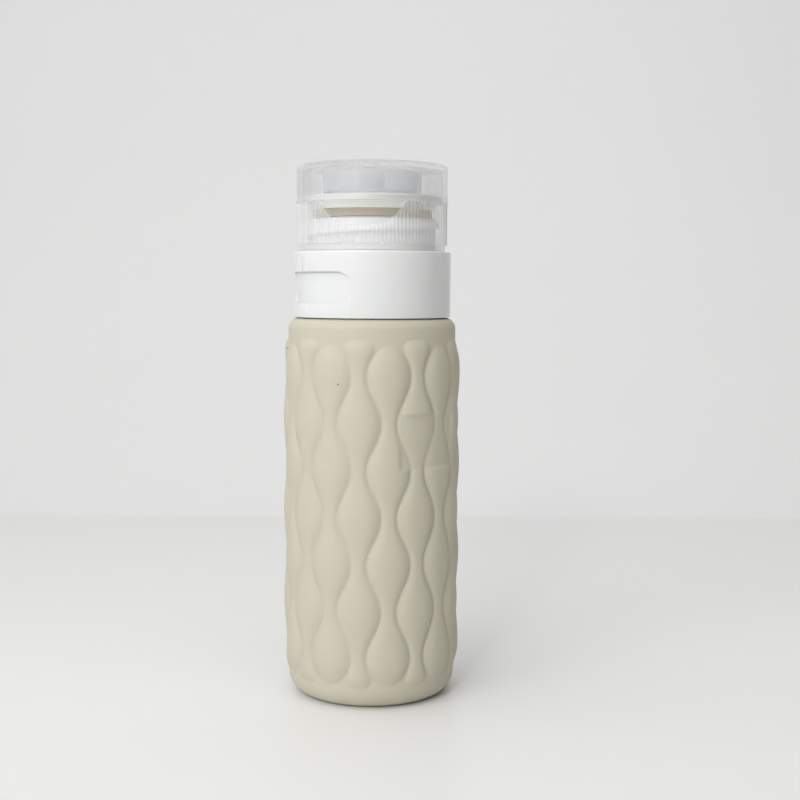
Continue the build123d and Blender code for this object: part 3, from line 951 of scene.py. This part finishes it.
class BOTTLE_OT_sleeve(bpy.types.Operator):
    """Models the glossy sleeve with its stadium window"""

    bl_idname = "bottle.sleeve"
    bl_label = "Turning sleeve"

    def execute(self, context):
        low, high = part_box("label_sleeve")
        outer = high.x
        inner = outer - SLEEVE_WALL
        flange = inner - SLEEVE_FLANGE_WIDTH
        flange_low = high.z - SLEEVE_FLANGE_THICKNESS
        outline = rounded(
            [
                (inner, low.z, CRISP_ROUND),
                (outer - SLEEVE_DRAFT, low.z, SMALL_ROUND),
                (outer, high.z, FULL_ROUND),
                (flange, high.z, CRISP_ROUND),
                (flange, flange_low, CRISP_ROUND),
                (inner, flange_low, CRISP_ROUND),
            ],
            steps=FINE_ROUND_STEPS,
        )
        sleeve = lathe("turning_sleeve", outline, ROUND_SEGMENTS, sharp_angle=SLEEVE_SHARP_ANGLE)
        cut(sleeve, window_cutter(inner - DEEP_CUT_OVERRUN, outer + CUT_OVERRUN))
        reach = WINDOW_HALF_HEIGHT + CRISP_ROUND
        soften_rim(sleeve, lambda place: abs(place.z - WINDOW_MIDDLE_HEIGHT) < reach, WINDOW_ROUND)
        smooth(sleeve.data, SLEEVE_SHARP_ANGLE)
        dress(sleeve, "sleeve", ["collar_gloss"], ["label_sleeve"])
        return {"FINISHED"}


# Screw cap, and the lid's sizes that it follows

RIB_COUNT = 120
RIB_HEIGHT = mm(0.25)
RIB_VALLEY_SHARE = 0.35
SEGMENTS_PER_RIB = 8
CAP_SHARP_ANGLE = 32
CAP_WALL = mm(1.45)
CAP_FOOT_INSET = mm(0.25)
CAP_FOOT_HEIGHT = mm(1.4)
CAP_OUTER_SKIN = mm(0.4)
BORE_TOP_DROP = mm(1.5)
DECK_WALL = mm(1.5)
DECK_RISE = mm(1.7)
DECK_THICKNESS = mm(1.4)
DECK_SKIN = mm(0.6)
BOSS_RADIUS = mm(10.9)
BOSS_THICKNESS = mm(1.3)
BOSS_ROUND = mm(0.8)
ORIFICE_RADIUS = mm(3.3)
WELL_WALL = mm(1.6)
WELL_DROP = mm(0.5)
SEAT_RADIUS = mm(13.0)
SEAT_WIDTH = mm(1.6)
GASKET_GAP = mm(0.05)
RIM_CEILING_RISE = mm(0.1)
# How far under the gasket's top the rim frost begins, so that its painted glow covers the shade at the
# gasket's top.
FROST_DROP = mm(0.12)
HINGE_FLAT_HEIGHT = mm(5.0)
LID_WALL = mm(1.2)
LID_SIDE_CLEARANCE = mm(0.2)
LID_INSET = mm(0.2)
SEAM_GAP = mm(0.06)
CAP_FINISHES = ("frosted_ribs", "clear_inside", "frosted_edge", "polished_deck", "frosted_rim")


def cap_bore():
    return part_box("screw_cap")[1].x - RIB_HEIGHT - CAP_WALL


def seam_height():
    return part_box("flip_lid")[0].z - SEAM_GAP


def seat_height():
    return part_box("neck_gasket")[1].z + GASKET_GAP


def lid_radius():
    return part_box("flip_lid")[1].x - LID_INSET


def deck_radius():
    return lid_radius() - LID_WALL - LID_SIDE_CLEARANCE


def cap_shape(radii, angles, heights):
    """The thread inside, the ribs outside, and the flats of the hinge and of the deck."""
    seam, bore, flat = seam_height(), cap_bore(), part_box("flip_lid")[1].y
    rib_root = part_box("screw_cap")[1].x - RIB_HEIGHT
    is_bore = (np.abs(radii - bore) < SAME_PLACE) & (heights < seam - BORE_TOP_DROP)
    threaded = bore - THREAD_DEPTH * thread_share(angles, heights, THREAD_START_ANGLE + CAP_THREAD_OFFSET)
    is_outer = radii > rib_root - CAP_OUTER_SKIN
    is_flat = is_outer & (heights > seam - HINGE_FLAT_HEIGHT)
    is_deck = (heights > seam - SAME_PLACE) & (radii > deck_radius() - DECK_SKIN) & ~is_outer
    ridge = np.abs(np.cos(np.radians(angles * RIB_COUNT / 2)))
    proud = RIB_HEIGHT * np.clip((radii - rib_root) / RIB_HEIGHT, 0, 1)
    ribs = rib_root + proud * (RIB_VALLEY_SHARE + (1 - RIB_VALLEY_SHARE) * ridge)
    ribbed = np.where(radii > rib_root, ribs, radii)
    ribbed = np.where(is_flat, flattened(ribbed, angles, flat), ribbed)
    deck_flat = flat - LID_WALL - LID_SIDE_CLEARANCE
    ribbed = np.where(is_deck, flattened(ribbed, angles, deck_flat), ribbed)
    return np.where(is_bore, threaded, ribbed)


# Thumb notch. Its outline has half widths and the depths under the seam there, down to its floor.

NOTCH_OUTLINE = ((mm(12.6), mm(-2.2)), (mm(10.3), mm(0.0)), (mm(7.8), mm(3.3)), (mm(5.4), mm(4.9)))
NOTCH_SAG = mm(0.9)
NOTCH_DEPTH = mm(1.15)
NOTCH_GROW = mm(0.3)
NOTCH_RIB_BITE = mm(0.05)
NOTCH_ROUND = mm(0.13)
NOTCH_RIM_HALF_WIDTH = mm(10.6)
NOTCH_RIM_FRONT = mm(12)
NOTCH_RIM_DROP = mm(6.5)
NOTCH_SIDE_STEPS = 24
NOTCH_FLOOR_STEPS = 12


def notch_low(across, grow, sag):
    """The depth of the notch's lower edge under the seam, across the cap."""
    for (wide, high), (narrow, deep) in zip(NOTCH_OUTLINE, NOTCH_OUTLINE[1:]):
        if abs(across) - grow >= narrow:
            return high + (deep - high) * (wide + grow - abs(across)) / (wide - narrow) + grow
    floor_half, floor_deep = NOTCH_OUTLINE[-1]
    return floor_deep + sag * (1 - (across / (floor_half + grow)) ** 2) + grow


def notch_cutter(inner, outer, grow, sag):
    """The thumb notch: a trapezoid with a sagging lower edge, cut straight back to an inner radius."""
    bends = [grow + across for across, depth in NOTCH_OUTLINE]
    half, floor_half = bends[0], bends[-1]
    right = set(bends)
    for step in range(NOTCH_SIDE_STEPS):
        right.add(half - (half - floor_half) * step / NOTCH_SIDE_STEPS)
    for step in range(NOTCH_FLOOR_STEPS):
        right.add(floor_half * step / NOTCH_FLOOR_STEPS)
    right = sorted(right)
    seam = seam_height()
    above = seam + CUT_OVERRUN
    sections = []
    for across in [-x for x in reversed(right) if x > 0] + right:
        low = min(seam - notch_low(across, grow, sag), above - SAME_PLACE)
        back = -math.sqrt(max(inner**2 - across**2, 0))
        corners = ((back, low), (-outer, low), (-outer, above), (back, above))
        sections.append([Vector((across, y, z)) for y, z in corners])
    return slices("notch", sections)


class BOTTLE_OT_screw_cap(bpy.types.Operator):
    """Models the ribbed screw cap with its notch, deck, spout boss, valve well and thread"""

    bl_idname = "bottle.screw_cap"
    bl_label = "Screw cap"

    def execute(self, context):
        cap = lathe("screw_cap_shell", self.outline(), RIB_COUNT * SEGMENTS_PER_RIB, shape=cap_shape)
        for kind in CAP_FINISHES:
            cap.data.materials.append(material(kind))
        bore_edge = cap_bore() + CRISP_ROUND
        rim_ceiling = seat_height() + RIM_CEILING_RISE
        deck_foot = seam_height() + SMALL_ROUND
        for face in cap.data.polygons:
            if face.center.xy.length < bore_edge and face.center.z < rim_ceiling:
                face.material_index = CAP_FINISHES.index("clear_inside")
            elif face.center.z > deck_foot:
                face.material_index = CAP_FINISHES.index("polished_deck")
        self.cut_notch(cap)
        self.frost_over_gasket(cap)
        smooth(cap.data, CAP_SHARP_ANGLE)
        dress(cap, "cap", [], ["screw_cap"])
        return {"FINISHED"}

    def outline(self):
        low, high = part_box("screw_cap")
        seam, inner, outer = seam_height(), cap_bore(), high.x
        foot = outer - RIB_HEIGHT - CAP_FOOT_INSET
        foot_top = low.z + CAP_FOOT_HEIGHT
        deck_outer = deck_radius()
        deck_inner = deck_outer - DECK_WALL
        deck_top = seam + DECK_RISE
        deck_ceiling = deck_top - DECK_THICKNESS
        boss_ceiling = high.z - BOSS_THICKNESS
        well = BOSS_RADIUS - WELL_WALL
        well_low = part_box("valve_retainer")[0].z - WELL_DROP
        seat, seat_outer = seat_height(), SEAT_RADIUS + SEAT_WIDTH
        rim_ceiling = seat + RIM_CEILING_RISE
        return rounded(
            [
                (inner, rim_ceiling, FULL_ROUND),
                (inner, low.z, EDGE_ROUND),
                (foot, low.z, CAP_FOOT_INSET),
                (foot, foot_top, CRISP_ROUND),
                (outer, foot_top + CAP_FOOT_INSET, SMALL_ROUND),
                (outer, seam, FINE_ROUND),
                (deck_outer, seam, SMALL_ROUND),
                (deck_outer, deck_top, SOFT_ROUND),
                (BOSS_RADIUS, deck_top, PLAIN_ROUND),
                (BOSS_RADIUS, high.z, BOSS_ROUND),
                (ORIFICE_RADIUS, high.z, SOFT_ROUND),
                (ORIFICE_RADIUS, boss_ceiling, EDGE_ROUND),
                (well, boss_ceiling, EDGE_ROUND),
                (well, well_low, EDGE_ROUND),
                (BOSS_RADIUS, well_low, EDGE_ROUND),
                (BOSS_RADIUS, deck_ceiling, SOFT_ROUND),
                (SEAT_RADIUS, deck_ceiling, PLAIN_ROUND),
                (SEAT_RADIUS, seat, EDGE_ROUND),
                (seat_outer, seat, EDGE_ROUND),
                (seat_outer, deck_ceiling, PLAIN_ROUND),
                (deck_inner, deck_ceiling, SOFT_ROUND),
                (deck_inner, rim_ceiling, PLAIN_ROUND),
            ],
            rows={1: THREAD_ROWS},
        )

    def cut_notch(self, cap):
        """Cuts the ribs away round the notch, then the notch itself, and softens its edges."""
        seam, outer = seam_height(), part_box("screw_cap")[1].x
        shallow = outer - RIB_HEIGHT - NOTCH_RIB_BITE
        for depth, grow, sag in ((shallow, NOTCH_GROW, NOTCH_SAG), (outer - NOTCH_DEPTH, 0, 0)):
            cutter = notch_cutter(depth, outer + DEEP_CUT_OVERRUN, grow, sag)
            for kind in CAP_FINISHES:
                cutter.data.materials.append(material(kind))
            for face in cutter.data.polygons:
                face.material_index = CAP_FINISHES.index("clear_inside")
            cut(cap, cutter)

        def is_notch_rim(place):
            is_in_front = abs(place.x) < NOTCH_RIM_HALF_WIDTH and place.y < -NOTCH_RIM_FRONT
            return is_in_front and seam - NOTCH_RIM_DROP < place.z < seam - PLAIN_ROUND

        soften_rim(cap, is_notch_rim, NOTCH_ROUND, CAP_FINISHES.index("frosted_edge"))

    def frost_over_gasket(self, cap):
        """Splits the notch's clear floor just under the gasket's top and frosts what lies above with a
        painted warm glow; the split lies under the gasket's top so that the frost covers the shade there.
        """
        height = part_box("neck_gasket")[1].z - FROST_DROP
        clear = CAP_FINISHES.index("clear_inside")
        build = bmesh.new()
        build.from_mesh(cap.data)
        parts = set()
        for face in build.faces:
            if face.material_index == clear:
                parts.update([face, *face.edges, *face.verts])
        bmesh.ops.bisect_plane(build, geom=list(parts), plane_co=(0, 0, height), plane_no=(0, 0, 1))
        for face in build.faces:
            if face.material_index == clear and face.calc_center_median().z > height:
                face.material_index = CAP_FINISHES.index("frosted_rim")
        build.to_mesh(cap.data)
        build.free()


# Gasket and valve

GASKET_WIDTH = mm(2.1)
GASKET_ROUND = mm(0.28)
GASKET_SEGMENTS = 192


class BOTTLE_OT_seals(bpy.types.Operator):
    """Models the gasket and finishes the valve and its retainer"""

    bl_idname = "bottle.seals"
    bl_label = "Gasket and valve"

    def execute(self, context):
        low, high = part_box("neck_gasket")
        outline = band(high.x - GASKET_WIDTH, high.x, low.z, high.z, GASKET_ROUND, FINE_ROUND_STEPS)
        gasket = lathe("sealing_ring", outline, GASKET_SEGMENTS)
        dress(gasket, "seal", ["gasket_silicone"], ["neck_gasket"])
        for node, kind in (("no_drip_valve", "valve_clear"), ("valve_retainer", "neck_satin")):
            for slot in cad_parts[node].material_slots:
                slot.link = "OBJECT"
                slot.material = material(kind)
        return {"FINISHED"}


# Lid and hinge

LID_TOP_WALL = mm(1.35)
LID_CEILING_ROUND = mm(0.6)
LID_TOP_ROUND = mm(1.15)
LID_ROUND_STEPS = 8
LID_LIP_HEIGHT = mm(0.6)
LID_LIP_SLOPED = mm(0.9)
LID_INNER_SKIN = mm(0.7)
LID_OUTER_SKIN = mm(0.3)
RING_INNER_RADIUS = mm(11.5)
RING_OUTER_RADIUS = mm(12.4)
RING_DROP = mm(0.5)
PLUG_RADIUS = mm(3.1)
PLUG_TIP_RADIUS = mm(2.7)
PLUG_DEPTH = mm(0.95)
LID_FINISHES = ("frosted_lid", "frosted_ring")
HINGE_THICKNESS = mm(0.35)
HINGE_FLARE_SHARE = 0.12
HINGE_OUTSIDE_SHARE = 0.97
HINGE_STEPS = 24


class BOTTLE_OT_flip_lid(bpy.types.Operator):
    """Models the translucent flip lid with its inner ring and plug pin"""

    bl_idname = "bottle.flip_lid"
    bl_label = "Flip lid"

    def execute(self, context):
        low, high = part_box("flip_lid")
        boss_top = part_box("screw_cap")[1].z
        lip, flat, outer = high.x, high.y, lid_radius()
        inner = outer - LID_WALL
        ceiling = high.z - LID_TOP_WALL
        ring_low = boss_top - RING_DROP
        outline = rounded(
            [
                (0, boss_top - PLUG_DEPTH, 0),
                (PLUG_TIP_RADIUS, boss_top - PLUG_DEPTH, MOUTH_ROUND),
                (PLUG_RADIUS, boss_top, SMALL_ROUND),
                (PLUG_RADIUS, ceiling, SOFT_ROUND),
                (RING_INNER_RADIUS, ceiling, SOFT_ROUND),
                (RING_INNER_RADIUS, ring_low, SMALL_ROUND),
                (RING_OUTER_RADIUS, ring_low, SMALL_ROUND),
                (RING_OUTER_RADIUS, ceiling, SOFT_ROUND),
                (inner, ceiling, LID_CEILING_ROUND),
                (inner, low.z, EDGE_ROUND),
                (lip, low.z, EDGE_ROUND),
                (lip, low.z + LID_LIP_HEIGHT, FINE_ROUND),
                (outer, low.z + LID_LIP_SLOPED, PLAIN_ROUND),
                (outer, high.z, LID_TOP_ROUND),
                (0, high.z, 0),
            ],
            steps=LID_ROUND_STEPS,
            closed=False,
        )

        def lid_shape(radii, angles, heights):
            is_outer = radii > inner + LID_OUTER_SKIN
            is_wall = (radii > inner - LID_INNER_SKIN) & (heights < ceiling + CRISP_ROUND)
            radii = np.where(is_outer, flattened(radii, angles, flat), radii)
            return np.where(is_wall & ~is_outer, flattened(radii, angles, flat - LID_WALL), radii)

        lid = lathe("flip_lid_shell", outline, ROUND_SEGMENTS, closed=False, shape=lid_shape)
        for kind in LID_FINISHES:
            lid.data.materials.append(material(kind))
        for face in lid.data.polygons:
            is_under_ceiling = face.center.z < ceiling - PLAIN_ROUND
            if face.center.xy.length < RING_OUTER_RADIUS + HAIR_ROUND and is_under_ceiling:
                face.material_index = LID_FINISHES.index("frosted_ring")
        smooth(lid.data, SHARP_ANGLE)
        dress(lid, "lid", [], ["flip_lid"])
        return {"FINISHED"}


class BOTTLE_OT_hinge_film(bpy.types.Operator):
    """Models the living hinge and blends it between the cap and the lid"""

    bl_idname = "bottle.hinge_film"
    bl_label = "Hinge film"

    def execute(self, context):
        low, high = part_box("hinge_film")
        middle, half = (low.z + high.z) / 2, (high.z - low.z) / 2
        bulge = high.y - low.y
        outside = (half**2 + bulge**2) / (2 * bulge)
        inside = outside - HINGE_THICKNESS
        spread = math.asin(half / outside)
        centre = Vector((0, high.y - outside, middle))
        sections = []
        for step in range(HINGE_STEPS + 1):
            along = 2 * step / HINGE_STEPS - 1
            turn = spread * along
            outward = Vector((0, math.cos(turn), math.sin(turn)))
            width = high.x * (1 + HINGE_FLARE_SHARE * (along**4 - 1))
            outside_width = width * HINGE_OUTSIDE_SHARE
            section = []
            for across, reach in (
                (-width, inside),
                (-outside_width, outside),
                (outside_width, outside),
                (width, inside),
            ):
                section.append(centre + outward * reach + Vector((across, 0, 0)))
            sections.append(section)
        film = slices("living_hinge", sections, SHARP_ANGLE)
        film.data.materials.append(material("frosted_lid"))
        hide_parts("hinge_film")
        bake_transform(film)
        return {"FINISHED"}


# Studio

CAMERA_TURN = 7.2
CAMERA_PLACE = (mm(7.183), mm(-341.687), mm(103.349))
CAMERA_PITCH = 4.807
CAMERA_ROLL = 0.262
CAMERA_FOCAL_PIXELS = 1343.857
CAMERA_CLIP = 0.01
PHOTO_WIDTH_PIXELS = 800
SENSOR_MM = 36
COVE_START = 0.26
COVE_RADIUS = 0.42
COVE_STEPS = 32
STAGE_REACH = 1.6
STAGE_SHADE_SHARE = 0.96
AIR_BRIGHT = 0.82
AIR_DIM = 0.03
AIR_BRIGHT_TINT = (0.98, 0.99, 1.0)
AIR_DIM_TINT = (1.0, 0.95, 0.86)
AIR_TURN = -58
AIR_FADE_SHARE = 0.9
AIR_SEEN = (0.74, 0.745, 0.75)

# Name, place, aim, width, watts and tint of each lamp, before the camera's turn is added
LAMPS = (
    ("key", (-0.35, -0.49, 0.41), (0, 0, 0.07), 0.5, 1.32, (1.0, 1.0, 0.99)),
    ("overhead_wash", (0.0, -0.05, 0.62), (0, 0.1, 0.07), 0.7, 1.5, (1.0, 1.0, 1.0)),
    ("spark", (-0.2, -0.72, 0.45), (0, 0, 0.07), 0.12, 1.1, (1.0, 0.975, 0.93)),
)


class BOTTLE_OT_studio(bpy.types.Operator):
    """Sets the pale floor, the soft lights and the camera"""

    bl_idname = "bottle.studio"
    bl_label = "Studio"

    def execute(self, context):
        self.add_camera(context)
        self.add_floor()
        self.add_air(context)
        self.add_lamps(context)
        return {"FINISHED"}

    def add_camera(self, context):
        data = bpy.data.cameras.new("camera")
        data.sensor_width = SENSOR_MM
        data.lens = CAMERA_FOCAL_PIXELS / PHOTO_WIDTH_PIXELS * SENSOR_MM
        data.clip_start = CAMERA_CLIP
        camera = bpy.data.objects.new("camera", data)
        context.scene.collection.objects.link(camera)
        turn = Matrix.Rotation(math.radians(CAMERA_TURN), 4, "Z")
        pitch = Matrix.Rotation(math.radians(90 - CAMERA_PITCH), 4, "X")
        roll = Matrix.Rotation(math.radians(CAMERA_ROLL), 4, "Z")
        camera.matrix_world = turn @ Matrix.Translation(CAMERA_PLACE) @ pitch @ roll
        context.scene.camera = camera

    def add_floor(self):
        """A floor that curves up into a wall. Seen from its back, it is see-through."""
        path = [(-STAGE_REACH, 0), (COVE_START, 0)]
        path += arc((COVE_START, 0), (COVE_START, COVE_RADIUS), 90, COVE_STEPS)[1:]
        path += [(COVE_START + COVE_RADIUS, STAGE_REACH)]
        vertices = [(side * STAGE_REACH, y, z) for y, z in path for side in (-1, 1)]
        faces = [(2 * i, 2 * i + 1, 2 * i + 3, 2 * i + 2) for i in range(len(path) - 1)]
        floor = add_object("studio_floor", vertices, faces)
        if floor.data.polygons[0].normal.z < 0:
            floor.data.flip_normals()
        floor.data.transform(Matrix.Rotation(math.radians(CAMERA_TURN), 4, "Z"))
        for surface in (
            self.stage_material("studio_floor", colours().floor, gloss=0.2, roughness=0.34),
            self.stage_material("studio_wall", colours().wall, gloss=0.1, roughness=0.8),
        ):
            floor.data.materials.append(surface)
        for face in floor.data.polygons:
            face.material_index = 1 if face.center.z > 0 else 0

    def stage_material(self, name, pale, gloss, roughness):
        surface, tree, shader = new_material(name, Specular_IOR_Level=gloss, Roughness=roughness)
        grain = place_group(tree, grain_group(), grain_scale=40.0, mottle_scale=3.0)
        shaded = darker(pale, STAGE_SHADE_SHARE)
        mottled = blend_colours(tree, grain.outputs["Mottle"], pale, shaded)
        tree.links.new(mottled, shader.inputs["Base Color"])
        geometry = add_node(tree, "ShaderNodeNewGeometry")
        from_above = maths(tree, "SUBTRACT", 1, geometry.outputs["Backfacing"])
        tree.links.new(from_above, shader.inputs["Alpha"])
        return surface

    def add_air(self, context):
        """Air that is bright on one side and dim on the other, with an even tone behind the stage."""
        world = bpy.data.worlds.new("studio_air")
        world.use_nodes = True
        tree = world.node_tree
        background = tree.nodes["Background"]
        place = add_node(tree, "ShaderNodeTexCoord")
        facing = add_node(tree, "ShaderNodeVectorMath", operation="DOT_PRODUCT")
        tree.links.new(place.outputs["Generated"], facing.inputs[0])
        facing.inputs[1].default_value = around(1, AIR_TURN + CAMERA_TURN, 0)
        fall = add_node(tree, "ShaderNodeMapRange", interpolation_type="SMOOTHSTEP")
        fall.inputs["From Min"].default_value = -AIR_FADE_SHARE
        fall.inputs["From Max"].default_value = AIR_FADE_SHARE
        tree.links.new(facing.outputs["Value"], fall.inputs["Value"])
        tint = blend_colours(tree, fall.outputs["Result"], AIR_DIM_TINT, AIR_BRIGHT_TINT)
        seen = add_node(tree, "ShaderNodeLightPath").outputs["Is Camera Ray"]
        tree.links.new(blend_colours(tree, seen, tint, AIR_SEEN), background.inputs["Color"])
        spread = maths(tree, "MULTIPLY", fall.outputs["Result"], AIR_BRIGHT - AIR_DIM)
        strength = maths(tree, "MAXIMUM", maths(tree, "ADD", spread, AIR_DIM), seen)
        tree.links.new(strength, background.inputs["Strength"])
        context.scene.world = world
        context.scene.view_settings.view_transform = "Standard"

    def add_lamps(self, context):
        turn = Matrix.Rotation(math.radians(CAMERA_TURN), 3, "Z")
        for name, place, aim, width, watts, tint in LAMPS:
            data = bpy.data.lights.new(name, "AREA")
            data.shape = "DISK"
            data.size = width
            data.energy = watts
            data.color = tint
            lamp = bpy.data.objects.new(name, data)
            context.scene.collection.objects.link(lamp)
            lamp.location = turn @ Vector(place)
            lamp.rotation_mode = "QUATERNION"
            lamp.rotation_quaternion = (turn @ Vector(aim) - lamp.location).to_track_quat("-Z", "Y")


class BOTTLE_PT_panel(bpy.types.Panel):
    """Lists the bottle's pieces, sizes and colours"""

    bl_idname = "BOTTLE_PT_panel"
    bl_label = "Travel silicone bottle"
    bl_space_type = "VIEW_3D"
    bl_region_type = "UI"
    bl_category = "Bottle"

    def draw(self, context):
        layout, scene = self.layout, context.scene
        for operator in OPERATORS:
            layout.operator(operator.bl_idname)
        for group in (scene.bottle_silicone, scene.bottle_pillows, scene.bottle_colours):
            box = layout.box()
            for name in group.__annotations__:
                box.prop(group, name)


GROUPS = {
    "bottle_silicone": SiliconeSizes,
    "bottle_pillows": PillowSizes,
    "bottle_colours": ColourChoices,
}
OPERATORS = (
    BOTTLE_OT_studio,
    BOTTLE_OT_silicone_body,
    BOTTLE_OT_neck,
    BOTTLE_OT_label_ring,
    BOTTLE_OT_sleeve,
    BOTTLE_OT_screw_cap,
    BOTTLE_OT_seals,
    BOTTLE_OT_flip_lid,
    BOTTLE_OT_hinge_film,
)


def register():
    for name, group in GROUPS.items():
        bpy.utils.register_class(group)
        setattr(bpy.types.Scene, name, bpy.props.PointerProperty(type=group))
    for kind in (*OPERATORS, BOTTLE_PT_panel):
        bpy.utils.register_class(kind)


def unregister():
    for kind in reversed((*OPERATORS, BOTTLE_PT_panel)):
        bpy.utils.unregister_class(kind)
    for name, group in reversed(GROUPS.items()):
        delattr(bpy.types.Scene, name)
        bpy.utils.unregister_class(group)


def main():
    register()
    bpy.ops.bottle.studio()
    bpy.ops.bottle.silicone_body()
    bpy.ops.bottle.neck()
    bpy.ops.bottle.label_ring()
    bpy.ops.bottle.sleeve()
    bpy.ops.bottle.screw_cap()
    bpy.ops.bottle.seals()
    bpy.ops.bottle.flip_lid()
    bpy.ops.bottle.hinge_film()
    bpy.context.view_layer.update()


if __name__ == "__main__":
    main()
